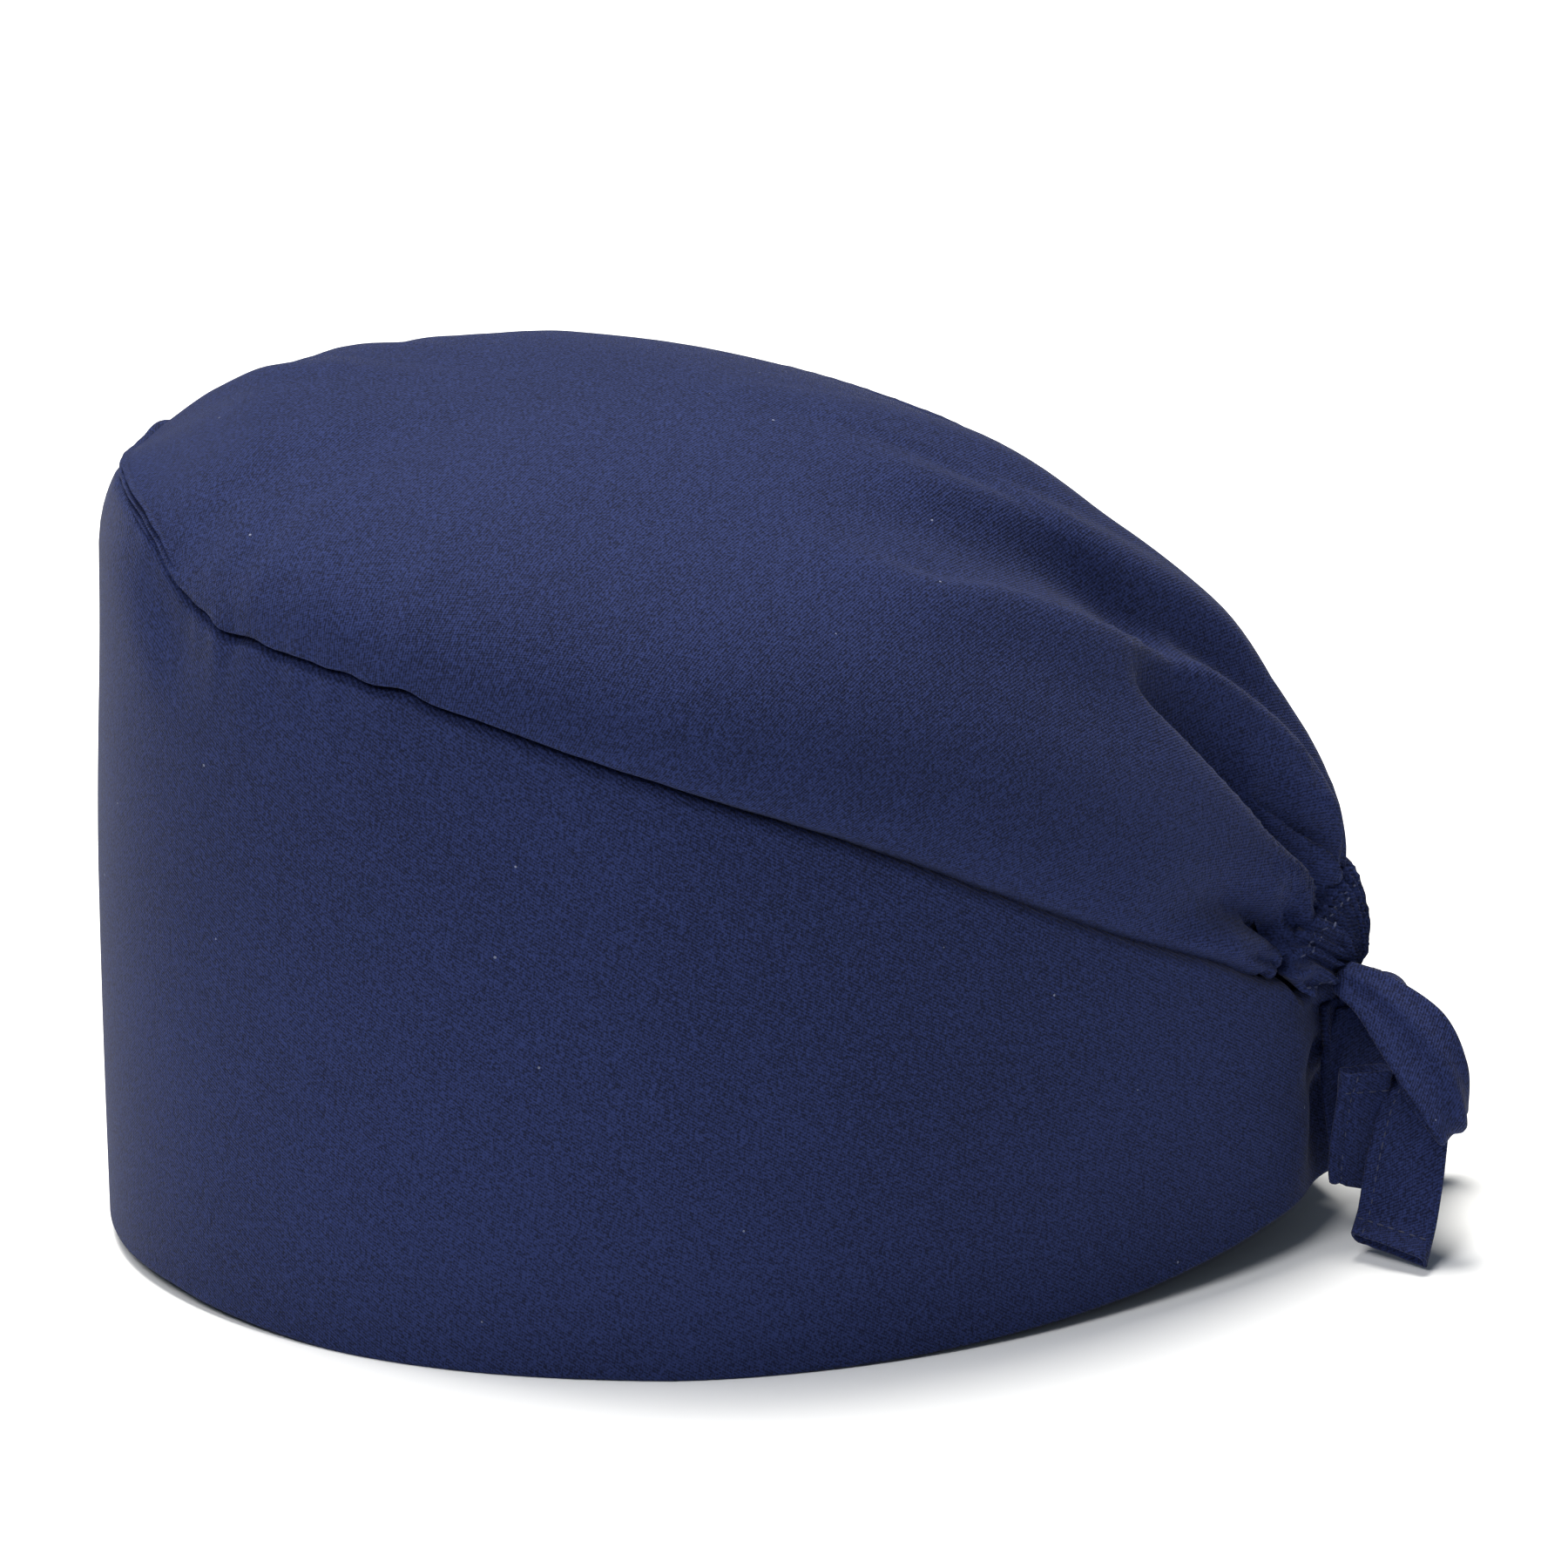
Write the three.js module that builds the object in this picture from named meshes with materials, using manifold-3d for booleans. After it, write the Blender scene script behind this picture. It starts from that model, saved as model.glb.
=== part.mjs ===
// Scrub cap: a tall side band, a domed crown that is gathered into an elastic casing at the back, and two
// cloth ties in a bow under the casing. Millimetres, +Z up. The front of the cap faces -Y, and +X is the
// wearer's left. A station is a distance from the front of the band towards the back.
import * as THREE from "three";
import { mergeVertices } from "three/addons/utils/BufferGeometryUtils.js";
import Module from "manifold-3d";

const wasm = await Module();
wasm.setup();

// Driving dimensions
const CAP_LENGTH = 212;
const HALF_WIDTH = 79.5;
const WIDEST_STATION = 95;
const FRONT_EXPONENT = 2.08;
const BACK_EXPONENT = 1.55;
const CLOTH = 1.2;
const SEWN_GAP = 0.5;
const CROWN_TOP = { station: 82, z: 147.5 };

// Band
const BAND_FLARE = 1.3;
const SHOULDER_DEPTH = 14;
const SHOULDER_INSET = { front: 3.6, side: 1.2 };
const BAND_END_X = { bottom: 10.5, top: 9 };
const BAND_END_DRAW = { inset: 1, length: 34 };
const BAND_GRID = { columns: 80, rows: 7 };

// Crown
const CROWN_GRID = { columns: 92, rings: 15 };
const RING_CROWDING = 1.25;
const BACK_CROWDING = 0.5;
const CROWN_FULLNESS = [
  { place: 0, power: 2 },
  { place: 0.12, power: 2.05 },
  { place: 0.3, power: 2.35 },
  { place: 0.5, power: 2.15 },
  { place: 1, power: 2.15 },
];
const CROWN_PUFF = { out: 3, ring: 0.3 };

// Elastic casing
const CASING_STATION = 199.5;
const CASING_TOP = 57;
const CASING_BOTTOM = 45.5;
const CASING_THICK = 4.2;
const CASING_OPENING = { top: 0.35, bottom: 0.25 };
const CASING_FROM = 0.15;
const CASING_PLEATS = 13;
const PLEAT_DEPTH = 0.9;
const CASING_GRID = { columns: 52, sides: 10 };

// Ties
const TIE_THICK = 1.4;
const STRIP_LANES = 2;
const KNOT = { x: 3, station: 215.4, z: 38 };
const KNOT_CORE = { radius: 2.4, from: -6, to: 4.6 };
const KNOT_WRAP = { inner: 2.8, outer: 5, halfLength: 4 };

// Heights of the lower edge (rim) and of the crown seam (seam) at each station.
const SIDE_HEIGHTS = [
  { station: 0, rim: 2.2, seam: 133.5 },
  { station: 4, rim: 2.2, seam: 132.6 },
  { station: 8.5, rim: 2.2, seam: 129 },
  { station: 12, rim: 2.1, seam: 124.6 },
  { station: 18, rim: 1.4, seam: 121.2 },
  { station: 46, rim: 0, seam: 117.4 },
  { station: 85, rim: 0, seam: 106.4 },
  { station: 106, rim: 0, seam: 99.2 },
  { station: 129, rim: 0.3, seam: 89.7 },
  { station: 151, rim: 1.2, seam: 78.3 },
  { station: 173, rim: 3, seam: 65.9 },
  { station: 188, rim: 5.6, seam: 57.5 },
  { station: 199, rim: 8.4, seam: 50 },
  { station: 212, rim: 10.5, seam: 46 },
];

// The crown's section towards the back: how far out and how far up it is, as shares of its reach and rise.
const CROWN_BACK = [
  { inward: 0, out: 1, up: 0 },
  { inward: 0.09, out: 0.985, up: 0.14 },
  { inward: 0.183, out: 0.948, up: 0.268 },
  { inward: 0.285, out: 0.876, up: 0.416 },
  { inward: 0.37, out: 0.808, up: 0.545 },
  { inward: 0.5, out: 0.686, up: 0.715 },
  { inward: 0.65, out: 0.535, up: 0.868 },
  { inward: 0.775, out: 0.35, up: 0.952 },
  { inward: 0.89, out: 0.17, up: 0.99 },
  { inward: 1, out: 0, up: 1 },
];

// Folds of the crown, each from the casing (from_x) via one place to its end (to), as [x, station]. A positive
// depth is a valley and a negative one a ridge. start and end are the half widths at the casing and at the end,
// and right is the share of the width on the fold's +X side where it is steeper there.
const CROWN_FOLDS = [
  { from_x: 4, via: [16, 191], to: [31, 167], depth: 7, start: 4.5, end: 9, right: 0.6 },
  { from_x: 0, via: [21, 181], to: [42, 112], depth: -2.2, start: 4, end: 9 },
  { from_x: -3, via: [12, 174], to: [21, 115], depth: 3, start: 4, end: 11 },
  { from_x: -8, via: [2, 170], to: [1, 120], depth: -2.4, start: 5, end: 9 },
  { from_x: 13, via: [22, 199], to: [33, 189], depth: 2.6, start: 3, end: 4.5 },
  { from_x: 20, via: [29, 197], to: [39, 186], depth: 2, start: 2.6, end: 4 },
  { from_x: -15, via: [-22, 190], to: [-33, 158], depth: 5, start: 4, end: 8 },
  { from_x: -19, via: [-29, 186], to: [-44, 138], depth: -1.8, start: 4, end: 9 },
  { from_x: -22, via: [-36, 188], to: [-48, 166], depth: 3.2, start: 3, end: 6 },
];

// Ties. Each row is a point on the strip's middle line, the strip's width there and the way its width runs.
const NEAR_LOOP = [
  { x: 3.5, station: 215, z: 42.6, width: 5, ax: 0, as: 1, az: 0 },
  { x: 11, station: 214.4, z: 45, width: 8.5, ax: -0.4, as: 0.75, az: 0.5 },
  { x: 16.5, station: 216.8, z: 40.4, width: 12.5, ax: -0.4, as: 0.7, az: 0.6 },
  { x: 22, station: 221.2, z: 34, width: 14.5, ax: -0.3, as: 0.75, az: 0.55 },
  { x: 25.2, station: 223.8, z: 26.5, width: 14.5, ax: -0.7, as: 0.6, az: 0.35 },
  { x: 25, station: 224.2, z: 21, width: 14, ax: -0.75, as: 0.6, az: 0.2 },
  { x: 22.2, station: 223.6, z: 22, width: 13, ax: -0.7, as: 0.65, az: 0.3 },
  { x: 18, station: 222, z: 30, width: 12, ax: -0.4, as: 0.75, az: 0.5 },
  { x: 12.5, station: 220.6, z: 37.4, width: 8, ax: -0.4, as: 0.75, az: 0.5 },
  { x: 4.5, station: 219.6, z: 41.2, width: 4, ax: -0.1, as: 0.7, az: 0.1 },
];
const LONG_TAIL = [
  { x: 5, station: 218.4, z: 34.6, width: 5, ax: 0.1, as: 0.8, az: 0.6 },
  { x: 13, station: 221, z: 30.5, width: 8, ax: 0.2, as: 0.95, az: 0.2 },
  { x: 19.2, station: 220.2, z: 24.5, width: 12.5, ax: 0.3, as: 0.95, az: 0.15 },
  { x: 22.2, station: 219, z: 17, width: 14, ax: 0.35, as: 0.92, az: 0.05 },
  { x: 24.2, station: 217.8, z: 9, width: 14.5, ax: 0.45, as: 0.88, az: -0.08 },
  { x: 25.6, station: 216.2, z: 1.5, width: 14.5, ax: 0.52, as: 0.84, az: -0.14 },
];
const SHORT_TAIL = [
  { x: 7.5, station: 214.4, z: 37.4, width: 3, ax: -0.3, as: 0.9, az: -0.1 },
  { x: 12, station: 212.6, z: 29, width: 5, ax: -0.5, as: 0.85, az: -0.05 },
  { x: 14.4, station: 211.8, z: 19, width: 7, ax: -0.5, as: 0.86, az: -0.05 },
  { x: 15.6, station: 211, z: 11.6, width: 10, ax: -0.5, as: 0.86, az: -0.05 },
  { x: 17.6, station: 210.4, z: 11.4, width: 11, ax: -0.5, as: 0.86, az: -0.05 },
  { x: 17.8, station: 210, z: 18, width: 11, ax: -0.5, as: 0.86, az: -0.05 },
  { x: 17.2, station: 210, z: 32, width: 11, ax: -0.5, as: 0.86, az: -0.05 },
];
const FAR_LOOP = [
  { x: -2.5, station: 215.8, z: 38.4, width: 4, ax: 0.2, as: 0.8, az: 0.5 },
  { x: -8, station: 217.6, z: 36.2, width: 10, ax: 0.3, as: 0.8, az: 0.45 },
  { x: -14, station: 219.8, z: 28.5, width: 14, ax: 0.3, as: 0.85, az: 0.4 },
  { x: -17.6, station: 221, z: 20, width: 15, ax: 0.3, as: 0.85, az: 0.35 },
  { x: -18.2, station: 221.2, z: 12.5, width: 15, ax: 0.3, as: 0.88, az: 0.3 },
  { x: -16.4, station: 220.6, z: 9.2, width: 15, ax: 0.3, as: 0.88, az: 0.3 },
  { x: -13.6, station: 219.8, z: 12.5, width: 14, ax: 0.3, as: 0.88, az: 0.3 },
  { x: -9.6, station: 218.6, z: 23, width: 11, ax: 0.3, as: 0.85, az: 0.35 },
  { x: -2.6, station: 215.6, z: 36.8, width: 4, ax: 0.2, as: 0.8, az: 0.4 },
];
const LEFT_LEAD = [
  { x: 12.5, station: 208.35, z: 35, width: 10, ax: -0.09, as: -0.1, az: 1 },
  { x: 9.8, station: 209.85, z: 35, width: 10, ax: -0.09, as: -0.1, az: 1 },
  { x: 9.2, station: 212.6, z: 36.6, width: 6.5, ax: 0, as: 0, az: 1 },
  { x: 7.4, station: 215, z: 38, width: 3.6, ax: 0, as: 0, az: 1 },
];
const RIGHT_LEAD = [
  { x: -12.5, station: 208.35, z: 35, width: 10, ax: 0.09, as: -0.1, az: 1 },
  { x: -9.8, station: 209.85, z: 35, width: 10, ax: 0.09, as: -0.1, az: 1 },
  { x: -6.5, station: 211.4, z: 37.4, width: 8, ax: 0, as: 0, az: 1 },
  { x: -2, station: 211.4, z: 40, width: 6, ax: 0.2, as: 0, az: 1 },
  { x: 1.5, station: 211.4, z: 40.4, width: 4, ax: 0.2, as: 0.4, az: 1 },
];
const STRIP_STEPS = { loop: 24, tail: 14, turned: 18, lead: 8 };

const { clamp, lerp, smoothstep: smooth } = THREE.MathUtils;

// The value of a table's column at a key, on a curve that never overshoots its rows.
function tableValue(rows, key, column, at) {
  const last = rows.length - 1;
  const secant = (i) => (rows[i + 1][column] - rows[i][column]) / (rows[i + 1][key] - rows[i][key]);
  const slope = (i) => {
    if (i === 0) return secant(0);
    if (i === last) return secant(last - 1);
    const before = secant(i - 1);
    const after = secant(i);
    return before * after <= 0 ? 0 : (2 * before * after) / (before + after);
  };
  const i = clamp(rows.findIndex((row) => row[key] > at) - 1, 0, last - 1);
  const from = at >= rows[last][key] ? last - 1 : i;
  const span = rows[from + 1][key] - rows[from][key];
  const t = clamp((at - rows[from][key]) / span, 0, 1);
  const rest = 1 - t;
  return (
    rows[from][column] * rest * rest * (1 + 2 * t) +
    slope(from) * span * t * rest * rest +
    rows[from + 1][column] * t * t * (3 - 2 * t) -
    slope(from + 1) * span * t * t * rest
  );
}

// The cap's outline in plan, as a closed curve that starts and ends at the back.
function outlineCurve() {
  const points = [];
  const count = 180;
  for (let i = 0; i < count; i++) {
    const turn = -Math.PI + (2 * Math.PI * i) / count;
    const c = Math.cos(turn);
    const s = Math.sin(turn);
    const power = 2 / (c > 0 ? FRONT_EXPONENT : BACK_EXPONENT);
    const reach = c > 0 ? WIDEST_STATION : CAP_LENGTH - WIDEST_STATION;
    const x = HALF_WIDTH * Math.sign(s) * Math.abs(s) ** power;
    const station = WIDEST_STATION - Math.sign(c) * reach * Math.abs(c) ** power;
    points.push(new THREE.Vector3(x, station, 0));
  }
  const curve = new THREE.CatmullRomCurve3(points, true);
  curve.arcLengthDivisions = 2000;
  return curve;
}
const OUTLINE = outlineCurve();
const HALF_LENGTH = OUTLINE.getLength() / 2;
const FOLD_STEPS = 24;

// A point of the outline moved inwards. The place around is 0 at the front, and -1 and 1 at the back.
function outlineAt(around, inset) {
  const u = clamp((around + 1) / 2, 0, 1);
  const point = OUTLINE.getPointAt(u);
  const along = OUTLINE.getTangentAt(u);
  return { x: point.x - along.y * inset, station: point.y + along.x * inset, full: point.y };
}

// The place around the left half of the outline where a measure of its points reaches a value.
function placeWhere(measure, value, low, high) {
  for (let i = 0; i < 40; i++) {
    const middle = (low + high) / 2;
    if (measure(OUTLINE.getPointAt((middle + 1) / 2)) < value) low = middle;
    else high = middle;
  }
  return (low + high) / 2;
}
const CASING_START = placeWhere((p) => p.y, CASING_STATION, 0.5, 1);
const BAND_END = {
  bottom: placeWhere((p) => -p.x, -BAND_END_X.bottom, 0.5, 1),
  top: placeWhere((p) => -p.x, -BAND_END_X.top, 0.5, 1),
};

const seamHeight = (station) => tableValue(SIDE_HEIGHTS, "station", "seam", station);
const rimHeight = (station) => tableValue(SIDE_HEIGHTS, "station", "rim", station);
const shoulderInset = (around) =>
  lerp(SHOULDER_INSET.front, SHOULDER_INSET.side, smooth(Math.abs(around), 0.05, 0.35));

// How far along the casing a place is: 0 at its ends and 1 at the middle of the back.
const alongCasing = (around) => clamp((Math.abs(around) - CASING_START) / (1 - CASING_START), 0, 1);
const casingTop = (around) =>
  lerp(seamHeight(CASING_STATION), CASING_TOP, smooth(alongCasing(around), 0, CASING_OPENING.top));
const casingBottom = (around) =>
  lerp(seamHeight(CASING_STATION), CASING_BOTTOM, smooth(alongCasing(around), 0, CASING_OPENING.bottom));

// A point of the band's outer face: side runs from -1 at the right end to 1 at the left, and up from the rim.
function bandPoint(side, up) {
  const around = side * lerp(BAND_END.bottom, BAND_END.top, up);
  const { full } = outlineAt(around, 0);
  const casing = alongCasing(around);
  const bottom = rimHeight(full);
  const top = (casing > 0 ? casingBottom(around) : seamHeight(full)) - SEWN_GAP;
  const z = lerp(bottom, top, up);
  const shoulder = Math.max(0, 1 - (top - z) / SHOULDER_DEPTH);
  const drawn = smooth(Math.abs(around), BAND_END.top - BAND_END_DRAW.length / HALF_LENGTH, BAND_END.top);
  const flare = BAND_FLARE * (1 - smooth(up, 0.45, 0.95)) * (1 - 0.8 * (1 - up) ** 2);
  const inset = shoulderInset(around) * shoulder ** 2.2 + BAND_END_DRAW.inset * drawn - flare;
  const { x, station } = outlineAt(around, inset);
  return new THREE.Vector3(x, station, z);
}

// The crown's edge: along the seam, and over the casing at the back.
function crownEdge(around) {
  const casing = alongCasing(around);
  const inset = lerp(shoulderInset(around), CASING_THICK * 0.3, smooth(casing, 0, 0.2));
  const { x, station, full } = outlineAt(around, inset);
  const z = casing > 0 ? casingTop(around) : seamHeight(full);
  return new THREE.Vector3(x, station, z);
}

// The folds' lines in plan, as short rows of points.
const FOLD_LINES = CROWN_FOLDS.map((fold) => {
  const start = new THREE.Vector2(fold.from_x, CAP_LENGTH - CASING_THICK - Math.abs(fold.from_x) * 0.25);
  const curve = new THREE.SplineCurve([start, new THREE.Vector2(...fold.via), new THREE.Vector2(...fold.to)]);
  return { right: 1, ...fold, points: curve.getPoints(FOLD_STEPS) };
});

// How deep the folds lie at a point of the crown in plan.
function foldDepth(x, station) {
  const place = new THREE.Vector2(x, station);
  let depth = 0;
  for (const fold of FOLD_LINES) {
    let near = 0;
    fold.points.forEach((point, i) => {
      if (place.distanceToSquared(point) < place.distanceToSquared(fold.points[near])) near = i;
    });
    const i = Math.min(near, FOLD_STEPS - 1);
    const run = fold.points[i + 1].clone().sub(fold.points[i]);
    const from = place.clone().sub(fold.points[i]);
    const t = (i + from.dot(run) / run.lengthSq()) / FOLD_STEPS;
    const away = from.cross(run) / run.length();
    const width = lerp(fold.start, fold.end, clamp(t, 0, 1)) * (away > 0 ? fold.right : 1);
    const fade = smooth(t, -0.1, 0.12) * (1 - smooth(t, 0.35, 1));
    depth += fold.depth * fade * Math.exp(-((away / width) ** 2));
  }
  return depth;
}

// A point of the crown's outer face, from its edge (inward 0) to the top (inward 1).
function crownPoint(around, inward) {
  const edge = crownEdge(around);
  const place = Math.abs(around);
  const power = 2 / tableValue(CROWN_FULLNESS, "place", "power", place);
  const turn = (inward * Math.PI) / 2;
  const back = smooth(place, 0.6, 0.95);
  const flat = lerp(Math.cos(turn) ** power, tableValue(CROWN_BACK, "inward", "out", inward), back);
  const rise = lerp(Math.sin(turn) ** power, tableValue(CROWN_BACK, "inward", "up", inward), back);
  const side = smooth(place, 0.3, 0.6) * (1 - smooth(place, 0.8, 0.95));
  const puff = CROWN_PUFF.out * side * Math.sin(Math.PI * Math.min(1, inward / CROWN_PUFF.ring / 2));
  const plan = new THREE.Vector2(edge.x, edge.y - CROWN_TOP.station);
  const reach = plan.length();
  const spread = flat + puff / reach;
  const x = plan.x * spread;
  const station = CROWN_TOP.station + plan.y * spread;
  const z = lerp(edge.z, CROWN_TOP.z, rise);
  const depth = foldDepth(x, station) * smooth(inward, 0, 0.06);
  const lift = (Math.sin(turn) * reach) / (CROWN_TOP.z - edge.z);
  const out = new THREE.Vector3((plan.x / reach) * Math.cos(turn), (plan.y / reach) * Math.cos(turn), lift);
  return new THREE.Vector3(x, station, z).addScaledVector(out.normalize(), -depth);
}

// An open surface through a grid of points, with its front where the columns turn towards the rows.
function gridSurface(columns, rows, pointAt, closed = false, pole = null) {
  const positions = [];
  const index = [];
  const across = closed ? columns : columns + 1;
  const last = pole ? rows + 1 : rows;
  for (let r = 0; r <= rows; r++)
    for (let c = 0; c < across; c++) positions.push(...pointAt(c / columns, r / last).toArray());
  const at = (c, r) => r * across + (c % across);
  for (let r = 0; r < rows; r++)
    for (let c = 0; c < columns; c++)
      index.push(at(c, r), at(c + 1, r), at(c + 1, r + 1), at(c, r), at(c + 1, r + 1), at(c, r + 1));
  if (pole) {
    const top = positions.push(...pole.toArray()) / 3 - 1;
    for (let c = 0; c < columns; c++) index.push(at(c, rows), at(c + 1, rows), top);
  }
  const surface = new THREE.BufferGeometry();
  surface.setAttribute("position", new THREE.Float32BufferAttribute(positions, 3));
  surface.setIndex(index);
  return surface;
}

// A wall from an open surface: share 0 keeps the surface as its outer face, and 0.5 as its middle. A level wall
// has its edges cut square to the Z axis.
function thicken(surface, thickness, share = 0, level = false) {
  surface.computeVertexNormals();
  const outer = surface.getAttribute("position");
  const normal = surface.getAttribute("normal");
  const count = outer.count;
  const faces = Array.from(surface.index.array);
  const index = [...faces];
  const edges = new Map();
  for (let i = 0; i < faces.length; i += 3) {
    const [a, b, c] = faces.slice(i, i + 3);
    index.push(count + a, count + c, count + b);
    for (const [from, to] of [[a, b], [b, c], [c, a]])
      if (!edges.delete(to + "_" + from)) edges.set(from + "_" + to, [from, to]);
  }
  const rim = new Set([...edges.values()].flat());
  const positions = new Float32Array(count * 6);
  for (let i = 0; i < count; i++) {
    const point = new THREE.Vector3().fromBufferAttribute(outer, i);
    const out = new THREE.Vector3().fromBufferAttribute(normal, i);
    if (level && rim.has(i)) out.setZ(0).normalize();
    point.addScaledVector(out, thickness * share).toArray(positions, i * 3);
    point.addScaledVector(out, -thickness).toArray(positions, (count + i) * 3);
  }
  for (const [from, to] of edges.values())
    index.push(to, from, count + from, to, count + from, count + to);
  const wall = new THREE.BufferGeometry();
  wall.setAttribute("position", new THREE.BufferAttribute(positions, 3));
  wall.setIndex(index);
  return wall;
}

// A closed body through rings of points, with a fan over each end.
function sweptBody(rings) {
  const sides = rings[0].length;
  const positions = rings.flat().flatMap((p) => p.toArray());
  const index = [];
  const at = (r, s) => r * sides + (s % sides);
  for (let r = 0; r < rings.length - 1; r++)
    for (let s = 0; s < sides; s++)
      index.push(at(r, s), at(r, s + 1), at(r + 1, s + 1), at(r, s), at(r + 1, s + 1), at(r + 1, s));
  const last = rings.length - 1;
  for (let s = 1; s < sides - 1; s++) {
    index.push(at(0, 0), at(0, s + 1), at(0, s));
    index.push(at(last, 0), at(last, s), at(last, s + 1));
  }
  const body = new THREE.BufferGeometry();
  body.setAttribute("position", new THREE.Float32BufferAttribute(positions, 3));
  body.setIndex(index);
  return body;
}

function bandGeometry() {
  const { columns, rows } = BAND_GRID;
  const surface = gridSurface(columns, rows, (c, r) => bandPoint(2 * c - 1, r));
  return thicken(surface, CLOTH, 0, true);
}

function crownGeometry() {
  const { columns, rings } = CROWN_GRID;
  const around = (c) => {
    const q = 2 * c - 1;
    return q * (1 + BACK_CROWDING * (1 - Math.abs(q)));
  };
  const pole = new THREE.Vector3(0, CROWN_TOP.station, CROWN_TOP.z);
  const surface = gridSurface(columns, rings, (c, r) => crownPoint(around(c), r ** RING_CROWDING), true, pole);
  return thicken(surface, CLOTH, 0, true);
}

// The casing is a flat tube whose outer face is pleated by the elastic inside it.
function casingGeometry() {
  const rings = [];
  const { columns, sides } = CASING_GRID;
  for (let c = 0; c <= columns; c++) {
    const start = lerp(CASING_START, 1, CASING_FROM);
    const q = lerp(start, 2 - start, c / columns);
    const around = q > 1 ? q - 2 : q;
    const top = casingTop(around) - 1.5 * SEWN_GAP;
    const bottom = casingBottom(around) + SEWN_GAP;
    const pleat = PLEAT_DEPTH * (0.5 + 0.5 * Math.cos((2 * Math.PI * CASING_PLEATS * c) / columns));
    const ring = [];
    for (let s = 0; s < sides; s++) {
      const turn = (-2 * Math.PI * s) / sides;
      const outward = Math.sign(Math.cos(turn)) * Math.abs(Math.cos(turn)) ** 0.6;
      const upward = Math.sign(Math.sin(turn)) * Math.abs(Math.sin(turn)) ** 0.6;
      const thick = CASING_THICK / 2 + (outward > 0 ? pleat : 0);
      const { x, station } = outlineAt(around, CASING_THICK / 2 - outward * thick);
      ring.push(new THREE.Vector3(x, station, lerp(bottom, top, 0.5 + upward / 2)));
    }
    rings.push(ring);
  }
  return sweptBody(rings);
}

// A cloth strip along the rows of a tie's table.
function stripGeometry(rows, steps) {
  const middles = rows.map((p) => new THREE.Vector3(p.x, p.station, p.z));
  const widths = rows.map((p) => new THREE.Vector3(p.ax, p.as, p.az).setLength(p.width));
  const line = new THREE.CatmullRomCurve3(middles, false, "catmullrom");
  const across = new THREE.CatmullRomCurve3(widths, false, "catmullrom");
  const pointAt = (c, r) => line.getPoint(c).addScaledVector(across.getPoint(c), r - 0.5);
  return thicken(gridSurface(steps, STRIP_LANES, pointAt), TIE_THICK, 0.5);
}

function asSolid(geometry) {
  const bare = new THREE.BufferGeometry();
  bare.setAttribute("position", geometry.getAttribute("position"));
  bare.setIndex(geometry.index);
  const merged = mergeVertices(bare, 1e-4);
  const mesh = new wasm.Mesh({
    numProp: 3,
    vertProperties: new Float32Array(merged.getAttribute("position").array),
    triVerts: new Uint32Array(merged.index.array),
  });
  return new wasm.Manifold(mesh);
}

function asGeometry(solid) {
  const mesh = solid.getMesh();
  const geometry = new THREE.BufferGeometry();
  geometry.setAttribute("position", new THREE.BufferAttribute(mesh.vertProperties, 3));
  geometry.setIndex(new THREE.BufferAttribute(mesh.triVerts, 1));
  return geometry;
}

const joined = (pieces) => asGeometry(pieces.map(asSolid).reduce((all, piece) => all.add(piece)));

// The left tie goes through the knot, and the right tie wraps round it.
function knotCore() {
  const { radius, from, to } = KNOT_CORE;
  const core = new THREE.CylinderGeometry(radius, radius, to - from, 12);
  core.rotateZ(Math.PI / 2);
  return core.translate(KNOT.x + (from + to) / 2, KNOT.station, KNOT.z);
}

function knotWrap() {
  const { inner, outer, halfLength } = KNOT_WRAP;
  const profile = [
    [inner, -halfLength],
    [outer - 0.6, -halfLength],
    [outer, 0],
    [outer - 0.6, halfLength],
    [inner, halfLength],
    [inner, -halfLength],
  ].map(([radius, along]) => new THREE.Vector2(radius, along));
  const wrap = new THREE.LatheGeometry(profile, 16);
  wrap.rotateZ(Math.PI / 2);
  return wrap.translate(KNOT.x, KNOT.station, KNOT.z);
}

function leftTie() {
  const { loop, turned, lead } = STRIP_STEPS;
  return joined([
    knotCore(),
    stripGeometry(LEFT_LEAD, lead),
    stripGeometry(SHORT_TAIL, turned),
    stripGeometry(FAR_LOOP, loop),
  ]);
}

function rightTie() {
  const { loop, tail, lead } = STRIP_STEPS;
  return joined([
    knotWrap(),
    stripGeometry(RIGHT_LEAD, lead),
    stripGeometry(NEAR_LOOP, loop),
    stripGeometry(LONG_TAIL, tail),
  ]);
}

function cloth(name, geometry, color) {
  const material = new THREE.MeshStandardMaterial({ color, roughness: 0.92, metalness: 0 });
  const mesh = new THREE.Mesh(geometry, material);
  mesh.name = name;
  return mesh;
}

const pieces = new THREE.Group();
pieces.add(
  cloth("band", bandGeometry(), 0x2b3258),
  cloth("crown", crownGeometry(), 0x2e355c),
  cloth("elastic_casing", casingGeometry(), 0x293056),
  cloth("tie_left", leftTie(), 0x272e54),
  cloth("tie_right", rightTie(), 0x272e54),
);

// The origin is under the middle of the whole cap, on the plane that its rim stands on.
const box = new THREE.Box3().setFromObject(pieces);
pieces.position.set(-(box.min.x + box.max.x) / 2, -(box.min.y + box.max.y) / 2, -box.min.z);
const cap = new THREE.Group();
cap.name = "scrub_cap";
cap.add(pieces);

export default cap;
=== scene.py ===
# Dresses the scrub cap: a navy twill band and crown, a gathered elastic casing and two cloth ties in a bow.
# Shapes are worked out in millimetres (x, station, z), where a station is a distance from the front of the
# band towards the back, and are put into the row frame in metres when a mesh is made.
import math

import bpy
import numpy as np
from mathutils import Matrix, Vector
from mathutils.bvhtree import BVHTree


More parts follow.
